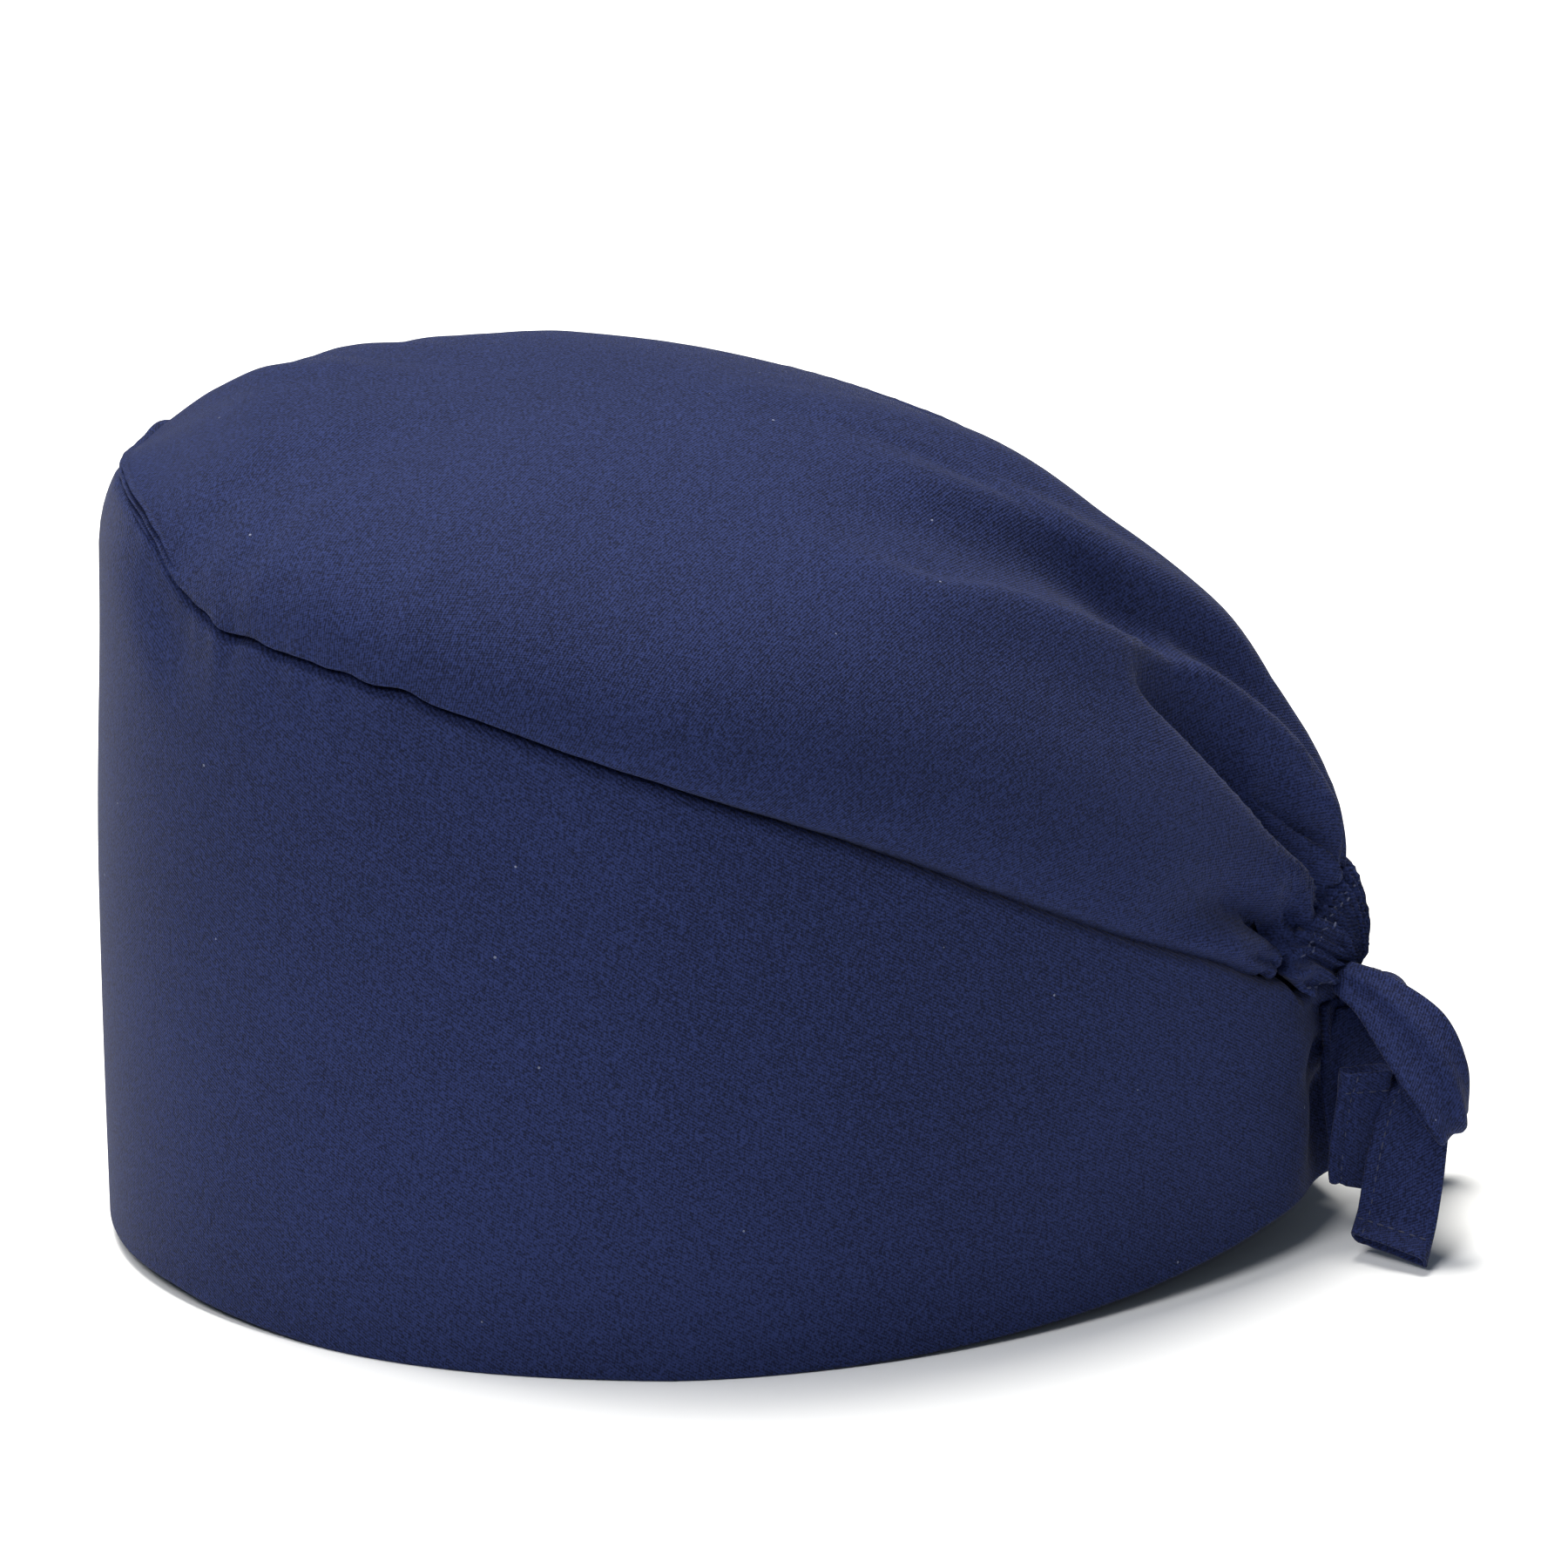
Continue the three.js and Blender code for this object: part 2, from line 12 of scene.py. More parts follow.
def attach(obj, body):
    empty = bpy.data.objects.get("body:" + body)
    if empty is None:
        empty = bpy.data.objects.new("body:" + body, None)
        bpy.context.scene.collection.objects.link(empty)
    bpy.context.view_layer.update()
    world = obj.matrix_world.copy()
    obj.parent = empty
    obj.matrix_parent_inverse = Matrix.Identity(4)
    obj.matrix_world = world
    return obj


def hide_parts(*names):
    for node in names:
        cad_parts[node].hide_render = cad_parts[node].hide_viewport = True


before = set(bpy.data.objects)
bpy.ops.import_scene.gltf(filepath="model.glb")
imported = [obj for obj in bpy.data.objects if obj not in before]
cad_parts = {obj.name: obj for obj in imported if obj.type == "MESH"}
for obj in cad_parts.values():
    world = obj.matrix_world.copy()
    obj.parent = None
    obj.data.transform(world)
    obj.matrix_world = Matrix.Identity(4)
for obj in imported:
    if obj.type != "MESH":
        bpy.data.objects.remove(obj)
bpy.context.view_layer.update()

# Pairs named as a fade, rise, fall or range say where a soft change begins and where it ends.

# Cap form, as in the part's source
CAP_LENGTH = 212.0
HALF_WIDTH = 79.5
WIDEST_STATION = 95.0
FRONT_EXPONENT = 2.08
BACK_EXPONENT = 1.55
CLOTH = 1.2
SEWN_GAP = 0.5
TOP_STATION = 82.0
TOP_Z = 147.5
ROW_STATION = 114.0485

# Band
BAND_FLARE = 1.3
BAND_FLARE_FADE = (0.45, 0.95)
BAND_FLARE_RIM = 0.8
SHOULDER_DEPTH = 14.0
SHOULDER_INSET_FRONT = 3.6
SHOULDER_INSET_SIDE = 1.2
SHOULDER_INSET_RANGE = (0.05, 0.35)
SHOULDER_POWER = 2.2
BAND_END_X_BOTTOM = 7.5
BAND_END_X_TOP = 7.0
BAND_END_DRAW = 1.0
BAND_END_DRAW_LENGTH = 34.0
BAND_END_HOLLOW = 6.0
BAND_END_HOLLOW_AT = 5.0
BAND_END_HOLLOW_HALF = 8.0
BAND_END_HOLLOW_Z = 26.0
BAND_END_HOLLOW_TALL = 16.0

# Crown
CROWN_PUFF = 3.0
CROWN_PUFF_RING = 0.3
CROWN_RUN = 118.0
BACK_CROWDING = 0.62

# Elastic casing
CASING_STATION = 199.5
CASING_PLAIN_TOP = 57.0
CASING_SHOULDER = 55.5
CASING_PEAK = 61.0
CASING_BOTTOM = 45.0
CASING_THICK = 4.2
CASING_LEAN = 2.4
CASING_BULGE = 0.9
CROWN_INSET = 1.3
CROWN_INSET_RANGE = (0, 0.2)
CROWN_TUCK = 1.7
CROWN_TUCK_REACH = 5.0
CROWN_UNDERLAP = 2.6
CROWN_UNDERLAP_REACH = 2.5
CROWN_UNDERLAP_RISE = (0.05, 0.3)
CASING_PLAIN_OPEN = 0.35
CASING_OPEN_TOP = 0.3
CASING_OPEN_BOTTOM = 0.25
CASING_PEAK_FROM = 0.2
CASING_PEAK_TO = 0.85
CASING_DRAW_REACH = 8.0
CASING_FROM = 0.05

# Ties
TIE_THICK = 1.4
KNOT = (3.0, 215.4, 38.0)

# Columns: station, height of the rim, height of the crown seam
SIDE_HEIGHTS = (
    (0, 2.2, 133.5),
    (4, 2.2, 132.6),
    (8.5, 2.2, 129),
    (12, 2.1, 124.6),
    (18, 1.4, 121.2),
    (46, 0, 117.4),
    (85, 0, 106.4),
    (106, 0, 99.2),
    (129, 0.3, 89.7),
    (151, 1.2, 78.3),
    (173, 3, 65.9),
    (188, 5.6, 57.5),
    (199, 8.4, 50),
    (212, 10.5, 46),
)
RIM = 1
SEAM = 2

# Columns: place around, power of the crown's section
CROWN_FULLNESS = ((0, 2), (0.12, 2.05), (0.3, 2.35), (0.5, 2.15), (1, 2.15))
POWER = 1

# Columns: share of the way inwards, share of the reach, share of the rise
CROWN_BACK = (
    (0, 1, 0),
    (0.09, 0.985, 0.14),
    (0.183, 0.948, 0.268),
    (0.285, 0.876, 0.416),
    (0.37, 0.808, 0.545),
    (0.5, 0.686, 0.715),
    (0.65, 0.535, 0.868),
    (0.775, 0.35, 0.952),
    (0.89, 0.17, 0.99),
    (1, 0, 1),
)
OUT = 1
UP = 2

# Columns: station, how far the front of the crown lies over its plain section
CROWN_FRONT = (
    (0, 0),
    (4, -1.4),
    (10, -2.7),
    (19, -0.7),
    (28, 1.1),
    (38, 1.0),
    (50, -0.7),
    (62, -1.0),
    (80, 0),
    (90, 0),
)
LEVEL = 1

# Folds of the crown on its cloth laid flat, with the top of the crown at 0, 0. A fold runs from the top
# towards the casing. Columns: x, y, depth (negative is a ridge), half width on the -X and on the +X side
CROWN_FOLDS = {
    "high_ridge": (
        (18.5, 40, 0, 7, 7),
        (18.4, 62, -1.9, 4.5, 5.5),
        (13.4, 82, -3.2, 6, 5),
        (10.2, 100, -3.6, 9, 4.5),
        (3.5, 118, -3.4, 9, 4),
        (0.5, 130, -2.2, 7, 4),
        (-2.2, 141, -1.0, 4, 4),
        (-2, 160, 0, 3, 3),
    ),
    "high_valley": (
        (6, 46, 0, 8, 6),
        (9.5, 73, 0.9, 5, 5),
        (5.5, 93, 0.8, 3, 4),
        (0, 116, 0.4, 3, 4),
        (-5, 140, 0.2, 4, 4),
        (-8, 160, 0, 4, 4),
    ),
    "middle_valley": (
        (34, 38, 0, 8, 7),
        (30, 69, 1.5, 8, 6),
        (20, 91.5, 2.4, 7, 5.5),
        (12.5, 112, 2.6, 6, 5),
        (6.5, 132, 1.9, 5, 4),
        (3, 152, 0.9, 4, 3),
        (2, 164, 0, 3, 3),
    ),
    "long_ridge": (
        (46, 33, 0, 7, 9),
        (48, 49, -1.2, 4, 10),
        (47, 61, -2.4, 3, 9),
        (40.3, 74.5, -3.4, 2.7, 9),
        (32.4, 92.7, -3.7, 2.5, 8),
        (25, 104.5, -3.8, 2.5, 5.5),
        (19.7, 113, -3.8, 2.5, 4.2),
        (11.6, 128.7, -2.8, 3, 3.6),
        (7, 142.5, -2.1, 2.8, 3.4),
        (6.4, 159, -0.9, 2.8, 2.8),
    ),
    "deep_valley": (
        (33, 100, 0, 6, 3),
        (31.8, 109, 3.2, 7, 2.2),
        (30.3, 117, 6.4, 8, 1.9),
        (28.6, 126, 8.6, 8, 1.8),
        (25.3, 137, 9.6, 7.5, 1.8),
        (21.2, 150, 9.0, 6, 1.8),
        (16.4, 160, 6.6, 4.5, 1.8),
        (14.0, 166, 4.0, 3.5, 1.8),
    ),
    "panel_edge": (
        (38, 98, 0, 3, 9),
        (36.0, 112, -1.3, 2.4, 9),
        (33.0, 127, -2.0, 2.2, 8),
        (29.4, 138, -2.0, 2.2, 7),
        (25.0, 150, -1.6, 2, 5),
        (19, 161, -0.8, 2, 4),
    ),
    "small_slit": (
        (19, 139, 0, 1.6, 1.6),
        (16, 147, 4.0, 2.2, 1.3),
        (13.2, 152.7, 5.6, 2.2, 1.3),
        (8.5, 159.5, 4.8, 2, 1.3),
        (5, 166, 2.4, 1.6, 1.3),
    ),
    "slit_lip": (
        (23.5, 137, 0, 1.6, 2),
        (19.4, 146, -2.4, 1.5, 2),
        (16.6, 153, -3.0, 1.5, 2),
        (11.8, 160.5, -2.2, 1.5, 2),
        (8, 167, -0.8, 1.5, 2),
    ),
    "small_ridge": (
        (15, 141, 0, 2, 2),
        (10.5, 151, -1.3, 2.2, 2),
        (4.5, 161, -0.9, 2, 2),
        (2, 167, 0, 2, 2),
    ),
    "low_valley": (
        (66, 124, 0, 7, 6),
        (56, 134, 1.4, 7, 6),
        (48, 142, 3.4, 6, 4.6),
        (41.3, 148.5, 5.0, 5, 3.4),
        (33, 157.5, 5.0, 3.6, 2.6),
        (27, 166, 2.6, 2.4, 2),
    ),
    "low_ridge": (
        (60, 138, 0, 5, 5),
        (49, 147.5, -1.2, 4, 5),
        (40.5, 155.5, -2.2, 3, 4),
        (32, 164, -1.4, 2, 2.4),
    ),
    "slit_a": (
        (38, 150, 0, 1.6, 1.4),
        (33, 156.5, 2.6, 1.6, 1.3),
        (29, 162, 3.6, 1.5, 1.3),
        (26, 168, 3.0, 1.4, 1.2),
    ),
    "slit_b": (
        (30, 151, 0, 1.5, 1.4),
        (27, 156.5, 2.0, 1.5, 1.3),
        (24.5, 162, 3.0, 1.4, 1.2),
        (22.5, 168, 2.6, 1.3, 1.2),
    ),
    "slit_c": (
        (47, 152, 0, 1.7, 1.5),
        (41, 157, 2.6, 1.7, 1.4),
        (36, 162, 3.6, 1.5, 1.3),
        (32, 168, 3.0, 1.4, 1.2),
    ),
}
# Folds that the other side has too, moved and drawn less deep
FAR_FOLDS = ("long_ridge", "deep_valley", "panel_edge", "low_valley", "low_ridge", "slit_a", "slit_c")
FAR_SCALE = 0.94
FAR_SHIFT = (-3.0, -4.0)
FAR_DEPTH = 0.78

# Strips of the ties. Columns: x, station, z, width, and the way the width runs (x, station, z)
NEAR_LOOP = (
    (4, 213.5, 43.6, 4, 0, 1, 0.2),
    (12, 208.4, 46.6, 5.6, -0.2, 0.7, 0.7),
    (16.5, 213.9, 44.2, 9, -0.3, 0.72, 0.62),
    (21, 220.4, 38.4, 12.8, -0.3, 0.75, 0.6),
    (24.2, 224.8, 31.4, 12, -0.5, 0.7, 0.5),
    (24.8, 226.6, 25, 10.8, -0.8, 0.46, 0.34),
    (22.2, 226, 24.2, 10, -0.8, 0.5, 0.3),
    (16.5, 221.6, 30, 9, -0.5, 0.72, 0.48),
    (11.5, 218.4, 36.6, 7, -0.4, 0.75, 0.5),
    (4.5, 217.2, 41, 4, -0.1, 0.7, 0.1),
)
LONG_TAIL = (
    (5, 218.4, 34.6, 5, 0.1, 0.8, 0.6),
    (13, 221, 30.5, 8, 0.2, 0.95, 0.2),
    (19.2, 220.2, 24.5, 12.5, 0.3, 0.95, 0.15),
    (22.2, 219, 17, 14, 0.35, 0.92, 0.05),
    (24.2, 217.7, 8.6, 14.5, 0.45, 0.88, -0.08),
    (25.3, 216.9, 5.2, 14.5, 0.5, 0.86, -0.12),
    (27.4, 216.1, 3.0, 14.5, 0.52, 0.84, -0.14),
)
SHORT_TAIL = (
    (6, 212.4, 38.6, 10, -0.25, 0.95, -0.05),
    (8.2, 211.2, 29, 13.6, -0.34, 0.92, -0.1),
    (12.2, 211.2, 19, 12, -0.42, 0.88, -0.2),
    (14.6, 211.4, 12.4, 11, -0.45, 0.86, -0.3),
    (16.8, 211, 11, 11.5, -0.45, 0.86, -0.3),
    (17.6, 211.2, 18, 11, -0.42, 0.88, -0.15),
    (17.3, 212.2, 31.6, 9, -0.4, 0.9, -0.05),
)
FAR_LOOP = (
    (-2.5, 215.8, 38.4, 4, 0.2, 0.8, 0.5),
    (-8, 216.4, 34.6, 8, 0.3, 0.8, 0.45),
    (-14, 219.4, 27, 12.5, 0.3, 0.85, 0.4),
    (-17.6, 222.6, 20, 15, 0.3, 0.85, 0.35),
    (-18.2, 222.6, 12.5, 15, 0.3, 0.88, 0.3),
    (-16.4, 221.8, 9.2, 15, 0.3, 0.88, 0.3),
    (-13.6, 220.6, 12.5, 14, 0.3, 0.88, 0.3),
    (-9.6, 218.6, 23, 11, 0.3, 0.85, 0.35),
    (-2.6, 215.6, 36.8, 4, 0.2, 0.8, 0.4),
)
LEFT_LEAD = (
    (9.5, 205.6, 35, 10, -0.09, -0.1, 1),
    (6.8, 207.2, 35.4, 10, -0.09, -0.1, 1),
    (5.4, 210, 36.4, 8, 0, 0, 1),
    (5, 213.2, 37.6, 4, 0, 0, 1),
)
RIGHT_LEAD = (
    (-9.5, 205.6, 35, 10, 0.09, -0.1, 1),
    (-6.8, 207.2, 35.4, 10, 0.09, -0.1, 1),
    (-5, 210, 37.2, 8, 0, 0, 1),
    (-2, 211.4, 40, 6, 0.2, 0, 1),
    (1.5, 211.4, 40.4, 4, 0.2, 0.4, 1),
)

# Camera at the photograph's angle
CAMERA_ELEVATION = 19.5
CAMERA_DISTANCE = 2.5
CAMERA_LENS = 341.5
CAMERA_SENSOR = 36
CAMERA_AIM = (0.0, 0.00045, 0.0763)


def smooth(value, low, high):
    """0 up to low and 1 from high, with a soft change between."""
    t = np.clip((np.asarray(value, float) - low) / (high - low), 0, 1)
    return t * t * (3 - 2 * t)


def lerp(a, b, t):
    return a + (b - a) * t


def bell(distance):
    return np.exp(-np.square(distance))


def table_value(rows, column, at):
    """A table's column at keys in its first column, on a curve that never overshoots its rows."""
    keys = np.array([row[0] for row in rows], float)
    values = np.array([row[column] for row in rows], float)
    secant = np.diff(values) / np.diff(keys)
    slope = np.empty_like(values)
    slope[0], slope[-1] = secant[0], secant[-1]
    before, after = secant[:-1], secant[1:]
    total = np.where(before + after == 0, 1, before + after)
    slope[1:-1] = np.where(before * after <= 0, 0, 2 * before * after / total)
    at = np.asarray(at, float)
    i = np.clip(np.searchsorted(keys, at, side="right") - 1, 0, len(keys) - 2)
    span = keys[i + 1] - keys[i]
    t = np.clip((at - keys[i]) / span, 0, 1)
    rest = 1 - t
    return (
        values[i] * rest * rest * (1 + 2 * t)
        + slope[i] * span * t * rest * rest
        + values[i + 1] * t * t * (3 - 2 * t)
        - slope[i + 1] * span * t * t * rest
    )


class Outline:
    """The cap's outline in plan. The place around is 0 at the front, and -1 and 1 at the back."""

    STEPS = 7200
    SMEAR = 24

    def __init__(self):
        turn = np.linspace(-math.pi, math.pi, self.STEPS + 1)
        c, s = np.cos(turn), np.sin(turn)
        power = np.where(c > 0, 2 / FRONT_EXPONENT, 2 / BACK_EXPONENT)
        reach = np.where(c > 0, WIDEST_STATION, CAP_LENGTH - WIDEST_STATION)
        self.x = HALF_WIDTH * np.sign(s) * np.abs(s) ** power
        self.station = WIDEST_STATION - np.sign(c) * reach * np.abs(c) ** power
        run = np.concatenate([[0], np.cumsum(np.hypot(np.diff(self.x), np.diff(self.station)))])
        self.half_length = run[-1] / 2
        self.around = run / self.half_length - 1
        wide = np.arange(-self.SMEAR, self.SMEAR + 1)
        body = np.arange(self.STEPS)
        ahead = (body[:, None] + wide + 1) % self.STEPS
        behind = (body[:, None] + wide - 1) % self.STEPS
        tx = (self.x[ahead] - self.x[behind]).sum(1)
        ts = (self.station[ahead] - self.station[behind]).sum(1)
        length = np.hypot(tx, ts)
        self.tx = np.append(tx / length, tx[0] / length[0])
        self.ts = np.append(ts / length, ts[0] / length[0])

    def at(self, around, inset=0.0):
        """x and station of a point of the outline moved inwards."""
        x = np.interp(around, self.around, self.x)
        station = np.interp(around, self.around, self.station)
        tx = np.interp(around, self.around, self.tx)
        ts = np.interp(around, self.around, self.ts)
        return x - ts * inset, station + tx * inset

    def full_station(self, around):
        return np.interp(around, self.around, self.station)

    def place_where(self, values, value):
        """The place in the back of the left half where a column of points reaches a value."""
        back = (self.around > 0.5) & (self.around < 1)
        order = np.argsort(values[back])
        return float(np.interp(value, values[back][order], self.around[back][order]))


OUTLINE = Outline()
HALF_LENGTH = OUTLINE.half_length
CASING_START = OUTLINE.place_where(OUTLINE.station, CASING_STATION)
BAND_END_BOTTOM = OUTLINE.place_where(OUTLINE.x, BAND_END_X_BOTTOM)
BAND_END_TOP = OUTLINE.place_where(OUTLINE.x, BAND_END_X_TOP)
CASING_ROOT = float(table_value(SIDE_HEIGHTS, SEAM, CASING_STATION))


def shoulder_inset(around):
    return lerp(SHOULDER_INSET_FRONT, SHOULDER_INSET_SIDE, smooth(np.abs(around), *SHOULDER_INSET_RANGE))


def along_casing(around):
    """How far along the casing a place is: 0 at its ends and 1 at the middle of the back."""
    return np.clip((np.abs(around) - CASING_START) / (1 - CASING_START), 0, 1)


def casing_top(around):
    along = along_casing(around)
    shoulder = lerp(CASING_ROOT, CASING_SHOULDER, smooth(along, 0, CASING_OPEN_TOP))
    return shoulder + (CASING_PEAK - CASING_SHOULDER) * smooth(along, CASING_PEAK_FROM, CASING_PEAK_TO)


def plain_casing_top(around):
    """The edge that the crown's plain form springs from over the casing."""
    return lerp(CASING_ROOT, CASING_PLAIN_TOP, smooth(along_casing(around), 0, CASING_PLAIN_OPEN))


def casing_bottom(around):
    return lerp(CASING_ROOT, CASING_BOTTOM, smooth(along_casing(around), 0, CASING_OPEN_BOTTOM))


def waves(run, lengths, seed):
    """An uneven ripple along a run in millimetres, from a few sine waves, about -1 to 1."""
    draw = np.random.default_rng(seed)
    total = 0
    for length in lengths:
        total = total + np.sin(2 * math.pi * run / length + draw.uniform(0, 2 * math.pi))
    return total / math.sqrt(len(lengths))


SEAM_WAVE = 0.42
SEAM_WAVE_LENGTHS = (10.5, 15.0, 23.0)
SEAM_WAVE_SEED = 12
SEAM_WAVE_RISE = (5, 14)
SEAM_WAVE_FALL = (40, 75)
SEAM_WAVE_DROP = 0.85
SEAM_WAVE_FADE = (150, 180)
FAR_DIP = 3.0
FAR_DIP_PLACE = -0.06
FAR_DIP_HALF = 0.05


def seam_z(around):
    """Height of the crown seam, which wanders at the front corners and sags at the one on the -X side."""
    station = OUTLINE.full_station(around)
    strength = smooth(station, *SEAM_WAVE_RISE) * (1 - SEAM_WAVE_DROP * smooth(station, *SEAM_WAVE_FALL))
    wander = SEAM_WAVE * strength * waves(around * HALF_LENGTH, SEAM_WAVE_LENGTHS, SEAM_WAVE_SEED)
    wander = wander * (1 - smooth(station, *SEAM_WAVE_FADE))
    sag = FAR_DIP * bell((around - FAR_DIP_PLACE) / FAR_DIP_HALF)
    return table_value(SIDE_HEIGHTS, SEAM, station) + wander - sag


PUCKER_LENGTHS = (6.1, 8.3, 11.7, 17.0)
PUCKER_SEED = 11
PUCKER_PLAIN = 0.12
PUCKER_CORNER = 0.3
PUCKER_RISE = (6, 16)
PUCKER_FALL = (40, 70)
PUCKER_REACH = 4.5


def seam_pucker(around, distance):
    """How far the cloth stands out at a distance from the seam, most at the front corners."""
    station = OUTLINE.full_station(around)
    corner = PUCKER_CORNER * smooth(station, *PUCKER_RISE) * (1 - smooth(station, *PUCKER_FALL))
    strength = PUCKER_PLAIN + corner
    ripple = waves(around * HALF_LENGTH, PUCKER_LENGTHS, PUCKER_SEED)
    return strength * ripple * np.exp(-distance / PUCKER_REACH)


SEAM_ROLL = 2.1
SEAM_ROLL_REACH = 1.6
SEAM_ROLL_BACK = 1.2
SEAM_ROLL_RISE = (50, 140)


def seam_roll(distance, around):
    """How far the cloth turns in at the seam, deeper towards the back."""
    deeper = lerp(1, SEAM_ROLL_BACK, smooth(OUTLINE.full_station(around), *SEAM_ROLL_RISE))
    return SEAM_ROLL * deeper * np.square(np.clip(1 - distance / (SEAM_ROLL_REACH * deeper), 0, 1))


# Band
BAND_COLUMNS = 480
# Distances of the rows from the seam and from the rim
BAND_TOP_ROWS = (0, 0.12, 0.28, 0.5, 0.8, 1.2, 1.8, 2.6, 3.7, 5.2, 7, 9.4, 12.4)
BAND_RIM_ROWS = (0.6, 0.9, 1.4, 2.2, 3.4, 5.2)
BAND_MIDDLE_ROWS = 30
RIM_ROUND_STEPS = 4
# Columns: place around, distance below the seam, half width along, half width down, depth
BAND_DENTS = (
    (0.150, 8.0, 11.0, 7.0, 2.2),
    (-0.150, 9.0, 12.0, 7.0, 1.0),
    (0.245, 7.0, 10.0, 5.0, 0.35),
)
BAND_SWELL = 0.45
BAND_SWELL_LENGTHS = (73.0, 121.0, 187.0)
BAND_SWELL_SEED = 5
BAND_SWELL_RISE = (4, 40)
BAND_DRIFT = 14.0
BAND_DRIFT_HEIGHT = 41.0
BAND_DRIFT_SWAY = 1.3
BAND_DRIFT_RUN = 53.0
END_FOLD_DEPTH = 0.7
END_FOLD_COUNT = 9.0
END_FOLD_PHASE = 0.7
END_FOLD_HUB = 5.0
END_FOLD_FADE = (3, 30)
END_FOLD_RISE = (0, 5)
TIE_ROOT_Z = 35.0
BAND_GAP_SHARE = 0.3


def band_relief(around, z, top):
    """How far the band's cloth stands out from its plain form."""
    run = around * HALF_LENGTH
    below = top - z
    out = seam_pucker(around, below)
    for place, down, wide, tall, depth in BAND_DENTS:
        out = out - depth * bell((around - place) * HALF_LENGTH / wide) * bell((below - down) / tall)
    drift = np.sin(z / BAND_DRIFT_HEIGHT + BAND_DRIFT_SWAY * np.sin(run / BAND_DRIFT_RUN))
    swell = waves(run + BAND_DRIFT * drift, BAND_SWELL_LENGTHS, BAND_SWELL_SEED)
    out = out + BAND_SWELL * swell * smooth(below, *BAND_SWELL_RISE)
    from_end = (BAND_END_TOP - np.abs(around)) * HALF_LENGTH
    angle = np.arctan2(z - TIE_ROOT_Z, from_end + END_FOLD_HUB)
    fold = np.sin(END_FOLD_COUNT * angle + np.sign(around) * END_FOLD_PHASE)
    fade = (1 - smooth(from_end, *END_FOLD_FADE)) * smooth(below, *END_FOLD_RISE)
    hollow = bell((from_end - BAND_END_HOLLOW_AT) / BAND_END_HOLLOW_HALF)
    hollow = hollow * bell((z - BAND_END_HOLLOW_Z) / BAND_END_HOLLOW_TALL)
    return out + END_FOLD_DEPTH * fold * fade - BAND_END_HOLLOW * hollow


def band_edges(around):
    """Heights of the band's rim and of its upper edge, which is the crown seam or the casing's foot."""
    bottom = table_value(SIDE_HEIGHTS, RIM, OUTLINE.full_station(around))
    top = np.where(along_casing(around) > 0, casing_bottom(around), seam_z(around))
    return bottom, top


def band_surface(side, up, depth):
    """Points of the band at a depth inside its outer face: side is -1 to 1, and up is 0 at the rim."""
    around = side * lerp(BAND_END_BOTTOM, BAND_END_TOP, up)
    bottom, top = band_edges(around)
    top = top - SEWN_GAP * BAND_GAP_SHARE
    z = lerp(bottom, top, up)
    shoulder = np.clip(1 - (top - z) / SHOULDER_DEPTH, 0, 1)
    drawn = smooth(np.abs(around), BAND_END_TOP - BAND_END_DRAW_LENGTH / HALF_LENGTH, BAND_END_TOP)
    flare = BAND_FLARE * (1 - smooth(up, *BAND_FLARE_FADE)) * (1 - BAND_FLARE_RIM * np.square(1 - up))
    inset = shoulder_inset(around) * shoulder**SHOULDER_POWER + BAND_END_DRAW * drawn - flare
    inset = inset + seam_roll(top - z, around) - band_relief(around, z, top)
    x, station = OUTLINE.at(around, inset + depth)
    return np.stack([x, station, z], -1)


def band_rows(side):
    """Shares of the height at which a column has its rows, closer together at the seam and the rim."""
    bottom, top = band_edges(side * BAND_END_BOTTOM)
    height = top - bottom
    rim = [row / height for row in BAND_RIM_ROWS]
    seam = [1 - row / height for row in reversed(BAND_TOP_ROWS)]
    middle = [lerp(rim[-1], seam[0], (i + 1) / (BAND_MIDDLE_ROWS + 1)) for i in range(BAND_MIDDLE_ROWS)]
    return np.stack([*rim, *middle, *seam], -1)


def band_loops():
    """Loops round the band's cloth, one for each column, and their places on the flat cloth."""
    side = np.linspace(-1, 1, BAND_COLUMNS + 1)
    up = band_rows(side)
    outer = band_surface(side[:, None], up, 0.0)
    inner = band_surface(side[:, None], up, CLOTH)
    middle = (outer[:, 0] + inner[:, 0]) / 2
    across = (outer[:, 0] - inner[:, 0]) / 2
    radius = np.linalg.norm(across, axis=1)[:, None]
    fold = []
    for i in range(1, RIM_ROUND_STEPS):
        turn = math.pi * i / RIM_ROUND_STEPS
        down = np.array([0, 0, -1.0]) * radius * math.sin(turn)
        fold.append(middle - across * math.cos(turn) + down)
    loops = np.concatenate([outer, inner[:, ::-1], np.stack(fold, 1)], 1)
    around = side * BAND_END_BOTTOM * HALF_LENGTH
    run = np.repeat(around[:, None], loops.shape[1], 1)
    return loops, np.stack([run, loops[..., 2]], -1)


# Crown
CROWN_COLUMNS = 520
CROWN_EDGE_ROWS = (0, 0.12, 0.28, 0.5, 0.8, 1.2, 1.8, 2.6, 3.7, 5.2, 7)
CROWN_RINGS = 64
FOLD_STEPS = 40
FOLDS_FROM = 20.0
FOLDS_RISE = (0, 3)


